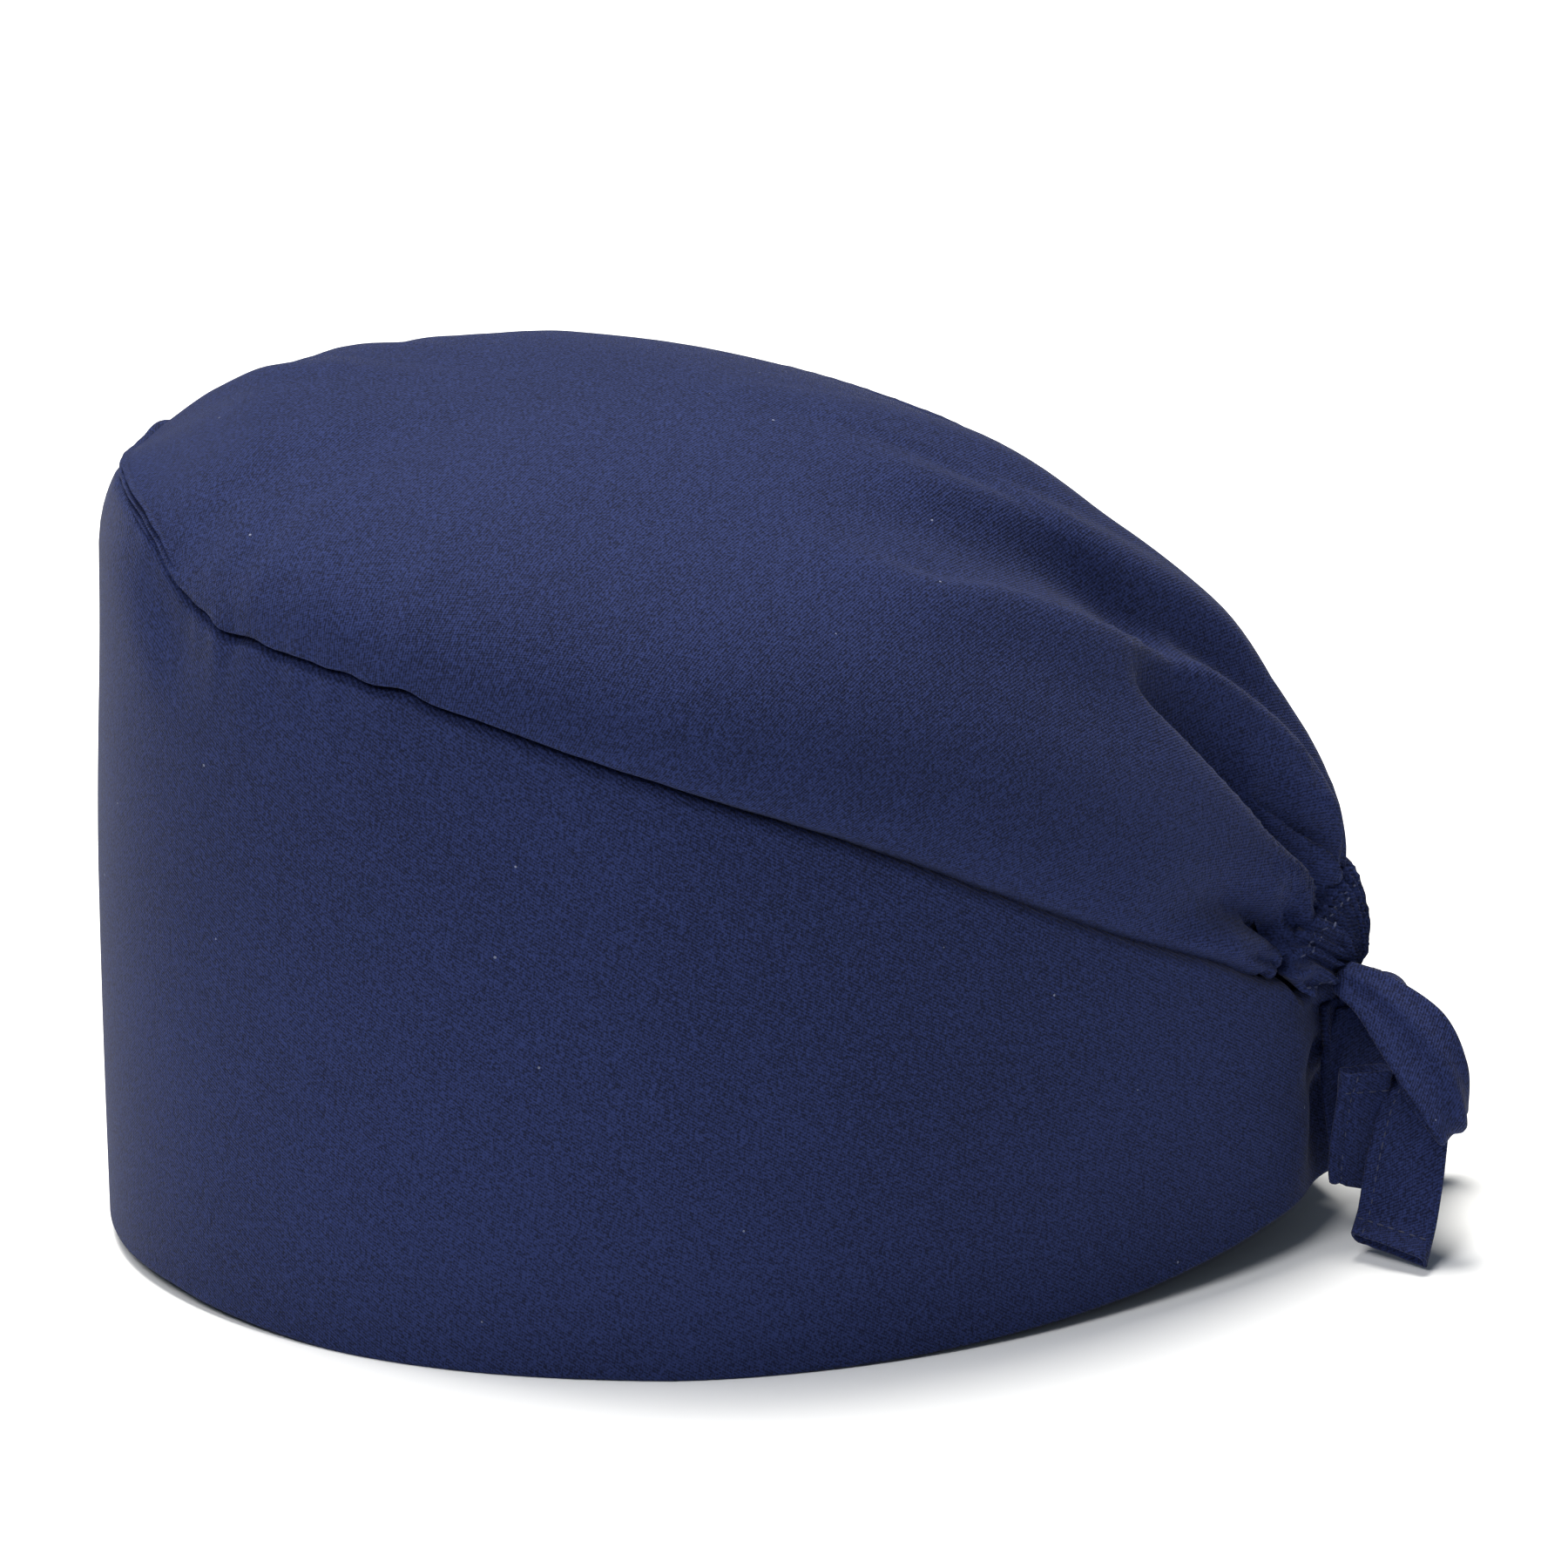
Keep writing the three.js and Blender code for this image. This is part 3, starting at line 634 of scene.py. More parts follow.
def spline(points, steps):
    """A uniform Catmull-Rom curve through points, at steps + 1 places."""
    points = np.array(points, float)
    last = len(points) - 1
    at = np.linspace(0, last, steps + 1)
    i = np.minimum(at.astype(int), last - 1)
    t = (at - i)[:, None]
    ahead = 2 * points[last] - points[last - 1]
    behind = 2 * points[0] - points[1]
    padded = np.concatenate([[behind], points, [ahead]])
    p0, p1, p2, p3 = (padded[i + k] for k in range(4))
    v0, v1 = (p2 - p0) / 2, (p3 - p1) / 2
    return (
        (2 * p1 - 2 * p2 + v0 + v1) * t**3 + (-3 * p1 + 3 * p2 - 2 * v0 - v1) * t**2 + v0 * t + p1
    )


def fold_lines():
    """The folds of both sides as rows of x, y, depth and half widths along each."""
    lines = []
    for name, rows in CROWN_FOLDS.items():
        lines.append(spline(rows, FOLD_STEPS))
        if name in FAR_FOLDS:
            far = [
                (FAR_SHIFT[0] - x * FAR_SCALE, y + FAR_SHIFT[1], depth * FAR_DEPTH, right, left)
                for x, y, depth, left, right in rows
            ]
            lines.append(spline(far, FOLD_STEPS))
    return lines


def fold_depth(flat):
    """How deep the folds lie at places of the crown's flat cloth."""
    place = flat.reshape(-1, 2)
    total = np.zeros(len(place))
    near = np.flatnonzero(place[:, 1] > FOLDS_FROM)
    place = place[near]
    for line in fold_lines():
        gap = np.linalg.norm(place[:, None] - line[None, :, :2], axis=2)
        i = np.minimum(gap.argmin(1), FOLD_STEPS - 1)
        run = line[i + 1, :2] - line[i, :2]
        away_from = place - line[i, :2]
        t = (away_from * run).sum(1) / (run * run).sum(1)
        cross = away_from[:, 0] * run[:, 1] - away_from[:, 1] * run[:, 0]
        away = cross / np.linalg.norm(run, axis=1)
        row = lerp(line[i], line[i + 1], np.clip(t, 0, 1)[:, None])
        past = np.where((i == 0) & (t < 0), -t, np.where((i == FOLD_STEPS - 1) & (t > 1), t - 1, 0))
        width = np.where(away > 0, row[:, 4], row[:, 3])
        total[near] += row[:, 2] * bell(away / width) * bell(past)
    return total.reshape(flat.shape[:-1])


def crown_edge(around):
    """The edge of the crown's plain form, along the seam and the casing."""
    casing = along_casing(around)
    inset = lerp(shoulder_inset(around), CROWN_INSET, smooth(casing, *CROWN_INSET_RANGE))
    x, station = OUTLINE.at(around, inset)
    z = np.where(casing > 0, plain_casing_top(around), seam_z(around))
    return x, station, z


PLEAT_PITCH_END = 3.3
PLEAT_PITCH_MIDDLE = 2.7
PLEAT_PITCH_RANGE = (0, 0.6)
PLEAT_SKEW = 1.0
PLEAT_SKEW_FADE = (0.5, 1)
PLEAT_DRIFT = 0.8
PLEAT_DRIFT_LENGTHS = (9.7, 14.3, 23.0)
PLEAT_DRIFT_SEED = 23
PLEAT_SHARPNESS = 0.8
PLEAT_STEPS = 1600
PLEAT_MARGIN = 0.1


def back_places(start, count):
    """Places across the back from a start on the left side: run on past 1, and as places around."""
    q = np.linspace(start, 2 - start, count)
    return q, np.where(q > 1, q - 2, q)


def pleat_phase(around, up):
    """The phase of the elastic's pleats along the back, wider apart towards the casing's ends.

    Away from the middle of the back the pleats lean towards it on their way down. up is in millimetres.
    """
    q, places = back_places(CASING_START - PLEAT_MARGIN, PLEAT_STEPS)
    run = q * HALF_LENGTH
    pitch = lerp(PLEAT_PITCH_END, PLEAT_PITCH_MIDDLE, smooth(along_casing(places), *PLEAT_PITCH_RANGE))
    phase = np.cumsum(math.pi / pitch) * (run[1] - run[0])
    phase = phase + PLEAT_DRIFT * waves(run, PLEAT_DRIFT_LENGTHS, PLEAT_DRIFT_SEED)
    skew = np.sign(around) * PLEAT_SKEW * (1 - smooth(along_casing(around), *PLEAT_SKEW_FADE))
    place = np.where(around > 0, around, around + 2) * HALF_LENGTH + skew * up
    return np.interp(place, run, phase)


GATHERS_RISE = (CASING_START - 0.035, CASING_START + 0.012)
FINE_GATHER = 1.5
FINE_GATHER_REACH = 5.0
WIDE_GATHER = 1.9
WIDE_GATHER_REACH = 13.0
WIDE_GATHER_PHASE = 0.5


def gathers(around, inward):
    """How deep the pleats that the elastic draws into the crown lie above the casing."""
    near = smooth(np.abs(around), *GATHERS_RISE)
    height = inward * CROWN_RUN
    phase = pleat_phase(around, height)
    fine = 1 - np.abs(np.sin(phase)) ** PLEAT_SHARPNESS
    wide = 1 - np.abs(np.sin(phase / 2 + WIDE_GATHER_PHASE)) ** PLEAT_SHARPNESS
    fine = FINE_GATHER * fine * np.exp(-height / FINE_GATHER_REACH)
    wide = WIDE_GATHER * wide * np.exp(-height / WIDE_GATHER_REACH)
    return near * (fine + wide)


def from_top(x, station):
    """How far a place is from the crown's top in plan, and the way to it as x and station."""
    reach = np.hypot(x, station - TOP_STATION)
    return reach, x / reach, (station - TOP_STATION) / reach


CROWN_BACK_RANGE = (0.6, 0.95)
CROWN_PUFF_RISE = (0.3, 0.6)
CROWN_PUFF_FALL = (0.8, 0.95)
CROWN_LIP = 1.6
CROWN_LIP_REACH = 3.0
CROWN_LIP_RISE = (0.3, 0.55)
CROWN_LIP_FALL = (0.68, CASING_START)
CROWN_LIP_FADE = (0.1, 0.7)
CROWN_PUCKER_FADE = (0, 0.3)
CROWN_PUCKER_RISE = (0, 1)
CROWN_SEWN_FADE = (0, 0.15)
CROWN_FRONT_FADE = (0.3, 0.55)
CROWN_FRONT_RISE = (0, 0.12)


def crown_surface(around, inward):
    """Points of the crown before its folds: inward is 0 at its edge and 1 at its top."""
    x0, station0, z0 = crown_edge(around)
    reach, dx, ds = from_top(x0, station0)
    place = np.abs(around)
    casing = along_casing(around)
    height = inward * CROWN_RUN
    power = 2 / table_value(CROWN_FULLNESS, POWER, place)
    turn = inward * math.pi / 2
    back = smooth(place, *CROWN_BACK_RANGE)
    flat = lerp(np.cos(turn).clip(0) ** power, table_value(CROWN_BACK, OUT, inward), back)
    rise = lerp(np.sin(turn) ** power, table_value(CROWN_BACK, UP, inward), back)
    side = smooth(place, *CROWN_PUFF_RISE) * (1 - smooth(place, *CROWN_PUFF_FALL))
    puff = CROWN_PUFF * side * np.sin(math.pi * np.minimum(1, inward / CROWN_PUFF_RING / 2))
    pucker = seam_pucker(around, height) * (1 - smooth(casing, *CROWN_PUCKER_FADE))
    lip = CROWN_LIP * smooth(place, *CROWN_LIP_RISE) * (1 - smooth(place, *CROWN_LIP_FALL))
    lip = lip * (1 - np.exp(-height / CROWN_LIP_REACH)) * (1 - smooth(inward, *CROWN_LIP_FADE))
    sewn = 1 - smooth(casing, *CROWN_SEWN_FADE)
    rolled = seam_roll(height, around) * sewn
    tuck = CROWN_TUCK * (1 - sewn) * np.exp(-height / CROWN_TUCK_REACH)
    radius = reach * flat + puff + lip - rolled - tuck + pucker * smooth(height, *CROWN_PUCKER_RISE)
    station = TOP_STATION + ds * radius
    front = (1 - smooth(place, *CROWN_FRONT_FADE)) * smooth(inward, *CROWN_FRONT_RISE)
    z = lerp(z0, TOP_Z, rise) + table_value(CROWN_FRONT, LEVEL, station) * front
    drawn = np.where(casing > 0, casing_top(around) - plain_casing_top(around), 0)
    under = CROWN_UNDERLAP * smooth(casing, *CROWN_UNDERLAP_RISE) * np.exp(-height / CROWN_UNDERLAP_REACH)
    z = z + drawn * np.exp(-height / CASING_DRAW_REACH) - under
    return np.stack([dx * radius, station, z], -1)


def grid_normals(points):
    """Outward ways of a grid whose first axis runs round the crown and whose second runs up it."""
    along = np.roll(points, -1, 0) - np.roll(points, 1, 0)
    normal = np.cross(along, np.gradient(points, axis=1))
    return normal / np.linalg.norm(normal, axis=-1, keepdims=True)


def crown_flat(points, around):
    """The crown's cloth laid flat: each point at its distance from the top along the cloth."""
    top = np.broadcast_to(np.array([0, TOP_STATION, TOP_Z]), points[:, :1].shape)
    steps = np.linalg.norm(np.diff(points, axis=1, append=top), axis=2)
    distance = np.cumsum(steps[:, ::-1], 1)[:, ::-1]
    x0, station0, _ = crown_edge(around)
    _, dx, ds = from_top(x0, station0)
    return np.stack([dx, ds], -1)[:, None] * distance[..., None]


def crown_lines():
    """Lines of the crown's cloth from the top outside to the top inside, and their flat places."""
    q = np.linspace(-1, 1, CROWN_COLUMNS, endpoint=False)
    around = q * (1 + BACK_CROWDING * (1 - np.abs(q)))
    edge = np.array(CROWN_EDGE_ROWS) / CROWN_RUN
    inward = np.concatenate([edge, np.linspace(edge[-1], 1, CROWN_RINGS + 1)[1:-1]])
    plain = crown_surface(around[:, None], inward[None, :])
    flat = crown_flat(plain, around)
    height = inward[None, :] * CROWN_RUN
    depth = fold_depth(flat) * smooth(height, *FOLDS_RISE) + gathers(around[:, None], inward[None, :])
    outer = plain - grid_normals(plain) * depth[..., None]
    normal = grid_normals(outer)
    normal[:, :2, 2] = 0
    normal /= np.linalg.norm(normal, axis=-1, keepdims=True)
    inner = outer - normal * CLOTH
    top = np.array([0, TOP_STATION, TOP_Z])
    lines = np.concatenate([outer[:, ::-1], inner], 1)
    maps = np.concatenate([flat[:, ::-1], flat], 1)
    return lines, maps, top, top - np.array([0, 0, CLOTH])


# Casing
CASING_COLUMNS = 360
CASING_FACE_ROWS = 24
CASING_BACK_ROWS = 8
CASING_ROUND = 5.0
CASING_FACING_RISE = (2, 7)


def casing_loops():
    """Loops round the casing before its pleats, their flat places, and the pleats' strength and phase."""
    q, places = back_places(lerp(CASING_START, 1, CASING_FROM), CASING_COLUMNS + 1)
    around = places[:, None]
    face = np.linspace(1, -1, CASING_FACE_ROWS + 1)
    back = np.linspace(-1, 1, CASING_BACK_ROWS + 1)[1:-1]
    upward = np.concatenate([face, back])[None, :]
    side = np.concatenate([np.ones_like(face), -np.ones_like(back)])[None, :]
    outward = side * (1 - np.abs(upward) ** CASING_ROUND) ** (1 / CASING_ROUND)
    top = casing_top(around) + SEWN_GAP
    bottom = casing_bottom(around) + SEWN_GAP
    up = 0.5 + upward / 2
    lean = CASING_LEAN * up - CASING_BULGE * (1 - np.square(upward))
    x, station = OUTLINE.at(around + 0 * upward, CASING_THICK / 2 * (1 - outward) + lean)
    z = lerp(bottom, top, up)
    loops = np.stack([x, station, z], -1)
    run = np.repeat((q * HALF_LENGTH)[:, None], upward.shape[1], 1)
    maps = np.stack([run, side * (z - bottom)], -1)
    facing = np.clip(outward, 0, 1) * smooth(top - bottom, *CASING_FACING_RISE)
    phase = pleat_phase(around, z - top)
    return loops, maps, facing, phase


# Ties
STRIP_LANES = 14
EDGE_STEPS = 5
CREASE_HALF = 0.16
GROOVE_DEPTH = 0.4
GROOVE_HALF = 0.55
OPEN_END_REACH = 6.0
OPEN_END_SWELL = 1.3
OPEN_END_DEPTH = 5.0
# Shares of the outer width and height that the open end's inner wall has at its mouth and at its bottom
OPEN_END_WIDTH = 0.93
OPEN_END_HEIGHTS = ((0.72,), (0.5,))
HEM_STITCH_MARGIN = 1.3
HEM_STITCH_LANES = 24


class Strip:
    """A flat cloth strip along the rows of a tie's table.

    crease is the height of a soft ridge along it at the lane crease_at. grooves are sewn lines as distances
    in from the edge at lane -0.5. An opened strip ends as an open tube of two layers.
    """

    def __init__(self, rows, steps, crease=0.0, crease_at=0.0, grooves=(), opened=False):
        table = np.array(rows, float)
        self.middle = spline(table[:, :3], steps)
        ways = table[:, 4:] / np.linalg.norm(table[:, 4:], axis=1, keepdims=True)
        self.across = spline(ways * table[:, 3:4], steps)
        self.width = np.linalg.norm(self.across, axis=1)
        along = np.gradient(self.middle, axis=0)
        self.normal = np.cross(along, self.across)
        self.normal /= np.linalg.norm(self.normal, axis=1, keepdims=True)
        step = np.linalg.norm(np.diff(self.middle, axis=0), axis=1)
        self.run = np.concatenate([[0], np.cumsum(step)])
        self.length = self.run[-1]
        self.crease = crease
        self.crease_at = crease_at
        self.grooves = grooves
        self.opened = opened

    def half_thick(self, lane, index):
        """Half of the strip's thickness at lanes of some of its steps, thinner along a sewn line."""
        half = np.full(lane.shape, TIE_THICK / 2)
        if self.opened:
            swell = smooth(self.run[index], self.length - OPEN_END_REACH, self.length)
            half = half + OPEN_END_SWELL * swell[:, None]
        for inset in self.grooves:
            from_line = (lane + 0.5) * self.width[index][:, None] - inset
            half = half - GROOVE_DEPTH * bell(from_line / GROOVE_HALF)
        return half

    def points(self, lane, height, index):
        """Points at lanes across and heights over the middle plane, for some of the strip's steps."""
        full = np.minimum(1, self.width[index] / self.width.max())[:, None]
        height = height + self.crease * bell((lane - self.crease_at) / CREASE_HALF) * full
        flat = self.middle[index][:, None] + self.across[index][:, None] * lane[..., None]
        return flat + self.normal[index][:, None] * height[..., None]

    def loops(self):
        """Loops round the strip, one for each step, and their places on the flat cloth."""
        index = np.arange(len(self.run))
        half = TIE_THICK / 2
        lanes = np.linspace(-0.5, 0.5, STRIP_LANES + 1)
        turns = np.linspace(math.pi / 2, -math.pi / 2, EDGE_STEPS)[1:-1]
        pull = half / np.maximum(self.width, 2 * half)
        inner = lanes[None, :] * (1 - 2 * pull[:, None])
        edge = pull[:, None] * np.cos(turns)[None, :]
        top = np.concatenate([inner, (0.5 - pull)[:, None] + edge], 1)
        low = np.concatenate([inner[:, ::-1], -(0.5 - pull)[:, None] - edge[:, ::-1]], 1)
        lane = np.concatenate([top, low], 1)
        flat = np.ones(STRIP_LANES + 1)
        rise = np.sin(turns)
        sides = np.concatenate([flat, rise, -flat, rise[::-1]])[None, :]
        height = sides * self.half_thick(lane, index)
        run = self.run
        if self.opened:
            deep = int(np.searchsorted(run, self.length - OPEN_END_DEPTH))
            ends = np.array([len(run) - 1, deep])
            lane = np.concatenate([lane, lane[ends] * OPEN_END_WIDTH])
            height = np.concatenate([height, height[ends] * np.array(OPEN_END_HEIGHTS)])
            index = np.concatenate([index, ends])
        across = lane * self.width[index][:, None]
        along = np.repeat(run[index][:, None], lane.shape[1], 1)
        return self.points(lane, height, index), np.stack([across, along], -1)

    def sewn(self, inset, start, end, face):
        """A sewn line along one face of the strip, at a distance in from the edge at lane -0.5."""
        index = np.flatnonzero((self.run >= start) & (self.run <= end))
        lane = (inset / self.width[index] - 0.5)[:, None]
        height = face * self.half_thick(lane, index)
        return self.points(lane, height, index)[:, 0], self.normal[index] * face

    def sewn_across(self, run, face):
        """A sewn line across one face of the strip at a distance along it."""
        i = int(np.searchsorted(self.run, run))
        inset = HEM_STITCH_MARGIN / self.width[i]
        lane = np.linspace(-0.5 + inset, 0.5 - inset, HEM_STITCH_LANES)[None, :]
        index = np.array([i])
        height = face * self.half_thick(lane, index)
        ways = np.repeat(self.normal[index] * face, HEM_STITCH_LANES, 0)
        return self.points(lane, height, index)[0], ways


LOOP_STEPS = 160
LONG_TAIL_STEPS = 96
SHORT_TAIL_STEPS = 140
LEAD_STEPS = 64
TOPSTITCH_INSET = 2.4
HEM_DEPTH = 3.8


def tie_strips():
    edge = (TOPSTITCH_INSET,)
    return {
        "near_loop": Strip(NEAR_LOOP, LOOP_STEPS, crease=1.7, crease_at=0.1),
        "long_tail": Strip(LONG_TAIL, LONG_TAIL_STEPS, crease=0.3, grooves=edge, opened=True),
        "right_lead": Strip(RIGHT_LEAD, LEAD_STEPS),
        "short_tail": Strip(SHORT_TAIL, SHORT_TAIL_STEPS, grooves=edge, opened=True),
        "far_loop": Strip(FAR_LOOP, LOOP_STEPS, crease=0.7, crease_at=-0.1),
        "left_lead": Strip(LEFT_LEAD, LEAD_STEPS),
    }


# Parts of the knot: radius, thickness and half length
KNOT_PARTS = {"wrap": (3.9, 1.1, 4.0), "core": (1.2, 1.2, 5.0)}
KNOT_STEPS = 72
KNOT_SIDES = 24
KNOT_ROUND = 0.7
KNOT_CREASES = 5
KNOT_CREASE = 0.28
KNOT_CREASE_SWAY = 0.6


def knot_loops(radius, thick, half_length):
    """A band of cloth drawn round the knot, with a few creases along it."""
    turn = np.linspace(0, 2 * math.pi, KNOT_STEPS, endpoint=False)[:, None]
    section = np.linspace(0, 2 * math.pi, KNOT_SIDES, endpoint=False)[None, :]
    along = half_length * np.sign(np.cos(section)) * np.abs(np.cos(section)) ** KNOT_ROUND
    rise = thick * np.sin(section)
    crease = np.sin(KNOT_CREASES * along / half_length * 2 + KNOT_CREASE_SWAY * np.sin(turn))
    r = radius + rise + KNOT_CREASE * crease * (np.sin(section) > 0)
    x = KNOT[0] + along + 0 * turn
    station = KNOT[1] + r * np.cos(turn)
    z = KNOT[2] + r * np.sin(turn)
    points = np.stack([x, station, z], -1)
    maps = np.stack([along + 0 * turn, turn * radius + 0 * along], -1)
    return points, maps


# Meshes
MILLIMETRE = 0.001


def in_row(points):
    points = np.asarray(points, float)
    return (points - np.array([0, ROW_STATION, 0])) * MILLIMETRE


def grid_faces(count, sides, wrap_count=False, wrap_sides=True):
    """Faces of a grid of count lines with sides points each."""
    lines = count if wrap_count else count - 1
    steps = sides if wrap_sides else sides - 1
    i, j = np.meshgrid(np.arange(lines), np.arange(steps), indexing="ij")
    i2, j2 = (i + 1) % count, (j + 1) % sides
    faces = np.stack([i * sides + j, i2 * sides + j, i2 * sides + j2, i * sides + j2], -1)
    return faces.reshape(-1, 4).tolist()


def fold_caps(count, sides, half):
    """Faces that close a flattened tube's ends, joining each outer point with the inner one behind it."""
    faces = []
    for line, turned in ((0, False), (count - 1, True)):
        start = line * sides
        for j in range(half - 1):
            face = [start + j, start + j + 1, start + 2 * half - 2 - j, start + 2 * half - 1 - j]
            faces.append(face[::-1] if turned else face)
    return faces


def cap_fans(count, sides):
    """One face over each end of a tube."""
    last = (count - 1) * sides
    return [list(range(sides)), list(range(last, last + sides))[::-1]]


def add_object(name, data):
    added = bpy.data.objects.new(name, data)
    bpy.context.scene.collection.objects.link(added)
    return added


def cloth_object(name, parts, material):
    """One object from parts of points, flat places and faces. The flat places become its UV map."""
    vertices, places, faces = [], [], []
    for points, flat, part_faces in parts:
        first = len(vertices)
        vertices.extend(in_row(points).reshape(-1, 3).tolist())
        places.extend((np.asarray(flat, float).reshape(-1, 2) * MILLIMETRE).tolist())
        faces.extend([[index + first for index in face] for face in part_faces])
    mesh = bpy.data.meshes.new(name)
    mesh.from_pydata(vertices, [], faces)
    corners = np.zeros(len(mesh.loops), dtype=np.int32)
    mesh.loops.foreach_get("vertex_index", corners)
    layer = mesh.uv_layers.new(name="cloth")
    layer.uv.foreach_set("vector", np.array(places, np.float32)[corners].ravel())
    mesh.polygons.foreach_set("use_smooth", np.ones(len(mesh.polygons), dtype=bool))
    mesh.materials.append(material)
    mesh.validate()
    return add_object(name, mesh)


# Finishes
class Value:
    """A number that changes over a surface, as a node's output, with the operators that add Math nodes."""

    def __init__(self, maker, socket):
        self.maker = maker
        self.socket = socket

    def _math(self, operation, *operands):
        return self.maker.value("ShaderNodeMath", 0, {"operation": operation}, dict(enumerate(operands)))

    def __add__(self, other):
        return self._math("ADD", self, other)

    __radd__ = __add__

    def __sub__(self, other):
        return self._math("SUBTRACT", self, other)

    def __rsub__(self, other):
        return self._math("SUBTRACT", other, self)

    def __mul__(self, other):
        return self._math("MULTIPLY", self, other)

    __rmul__ = __mul__

    def sine(self):
        return self._math("SINE", self)

    def size(self):
        return self._math("ABSOLUTE", self)

    def power(self, exponent):
        return self._math("POWER", self, exponent)

    def under(self, limit):
        return self._math("LESS_THAN", self, limit)


class Nodes:
    """A node tree under construction."""

    def __init__(self, tree):
        self.tree = tree

    def node(self, kind, settings=None, sockets=None):
        """Adds a node: its settings are set first, then the values or links of its sockets."""
        node = self.tree.nodes.new(kind)
        for key, value in (settings or {}).items():
            setattr(node, key, value)
        for key, value in (sockets or {}).items():
            if isinstance(value, Value):
                value = value.socket
            if isinstance(value, bpy.types.NodeSocket):
                self.tree.links.new(value, node.inputs[key])
            else:
                node.inputs[key].default_value = value
        return node

    def value(self, kind, output, settings=None, sockets=None):
        return Value(self, self.node(kind, settings, sockets).outputs[output])


class Finish(Nodes):
    """A material under construction. body gives the Object coordinates that its patterns read."""

    def __init__(self, name):
        self.material = bpy.data.materials.new(name)
        self.material.use_nodes = True
        super().__init__(self.material.node_tree)
        self.tree.nodes.clear()
        self.body = self.node("ShaderNodeTexCoord").outputs["Object"]

    def noise(self, scale, detail):
        sockets = {"Vector": self.body, "Scale": scale, "Detail": detail}
        return self.value("ShaderNodeTexNoise", 0, None, sockets)

    def mix(self, factor, a, b):
        """One colour from two, as a Mix node's colour output."""
        sockets = {0: factor, 6: a, 7: b}
        return self.node("ShaderNodeMix", {"data_type": "RGBA", "blend_type": "MIX"}, sockets).outputs[2]

    def bump(self, strength, distance, height):
        sockets = {"Strength": strength, "Distance": distance, "Height": height}
        return self.node("ShaderNodeBump", None, sockets).outputs[0]

    def close(self, sockets):
        """Ends the material in a Principled shader with these sockets."""
        shader = self.node("ShaderNodeBsdfPrincipled", None, sockets)
        self.node("ShaderNodeOutputMaterial", None, {"Surface": shader.outputs[0]})
        return self.material


def rgba(colour, strength=1.0):
    return (*[channel * strength for channel in colour], 1)


TWILL_PERIOD = 0.00056
RIB_PERIOD = 0.00040
TWILL_LEAN = 0.62
PICK_LEAN = 0.15
RIB_SHARE = 0.7
PICK_SHARE = 0.3
SLUB_SCALE = 700.0
SLUB_SWAY = 2.4
FIBRE_SCALE = 2200.0
FADE_SCALE = 19.0
TONE_WEAVE = 0.36
TONE_FIBRE = 2.6
TONE_SLUB = 0.3
TONE_FADE = 0.5
TONE_DROP = 1.2
DARK_SHARE = 0.42
LIGHT_SHARE = 1.58
RELIEF_WEAVE = 0.5
RELIEF_FIBRE = 1.6
RELIEF_SLUB = 0.4
LINT_CELLS = 105.0
LINT_SIZE = 0.026
LINT_STRENGTH = 0.9
LINT = (0.26, 0.29, 0.40)
CLOTH_ROUGHNESS = 0.74
CLOTH_ROUGHNESS_FIBRE = 0.16
CLOTH_SHEEN_TINT = (0.86, 0.88, 1.0)


def twill_finish(name, navy):
    """Fine cotton twill: diagonal ribs from the cloth's flat map, uneven yarn and a few specks of lint."""
    f = Finish(name)
    flat = f.node("ShaderNodeUVMap", {"uv_map": "cloth"})
    split = f.node("ShaderNodeSeparateXYZ", None, {0: flat.outputs[0]})
    u, v = Value(f, split.outputs[0]), Value(f, split.outputs[1])
    slub = f.noise(SLUB_SCALE, detail=2.0)
    fibre = f.noise(FIBRE_SCALE, detail=1.0)
    fade = f.noise(FADE_SCALE, detail=4.0)
    turn = 2 * math.pi
    rib = ((u * TWILL_LEAN + v) * (turn / TWILL_PERIOD) + slub * SLUB_SWAY).sine()
    pick = ((u - v * PICK_LEAN) * (turn / RIB_PERIOD)).sine()
    weave = rib * RIB_SHARE + pick * PICK_SHARE
    tone = weave * TONE_WEAVE + fibre * TONE_FIBRE + slub * TONE_SLUB + fade * TONE_FADE - TONE_DROP
    colour = f.mix(tone, rgba(navy, DARK_SHARE), rgba(navy, LIGHT_SHARE))
    lint = {"Vector": f.body, "Scale": LINT_CELLS}
    cells = f.value("ShaderNodeTexVoronoi", "Distance", {"feature": "F1"}, lint)
    speck = cells.under(LINT_SIZE) * fibre * LINT_STRENGTH
    relief = weave * RELIEF_WEAVE + fibre * RELIEF_FIBRE + slub * RELIEF_SLUB
    return f.close(
        {
            "Base Color": f.mix(speck, colour, rgba(LINT)),
            "Roughness": CLOTH_ROUGHNESS + fibre * CLOTH_ROUGHNESS_FIBRE,
            "Normal": f.bump(strength=0.6, distance=0.00018, height=relief),
            "Specular IOR Level": 0.1,
            "Sheen Weight": 0.05,
            "Sheen Roughness": 0.38,
            "Sheen Tint": rgba(CLOTH_SHEEN_TINT),
        }
    )


PLY_SCALE = 1500.0
THREAD_ROUGHNESS = 0.55
THREAD_ROUGHNESS_PLY = 0.2


def thread_finish(name, dark, light):
    f = Finish(name)
    ply = f.noise(PLY_SCALE, detail=1.0)
    return f.close(
        {
            "Base Color": f.mix(ply, rgba(dark), rgba(light)),
            "Roughness": THREAD_ROUGHNESS + ply * THREAD_ROUGHNESS_PLY,
            "Normal": f.bump(strength=0.4, distance=0.0001, height=ply),
            "Sheen Weight": 0.1,
        }
    )


FLOOR_CLOUD_SCALE = 3.0
FLOOR_DARK = (0.84, 0.88, 0.95)
FLOOR_LIGHT = (0.86, 0.90, 0.97)


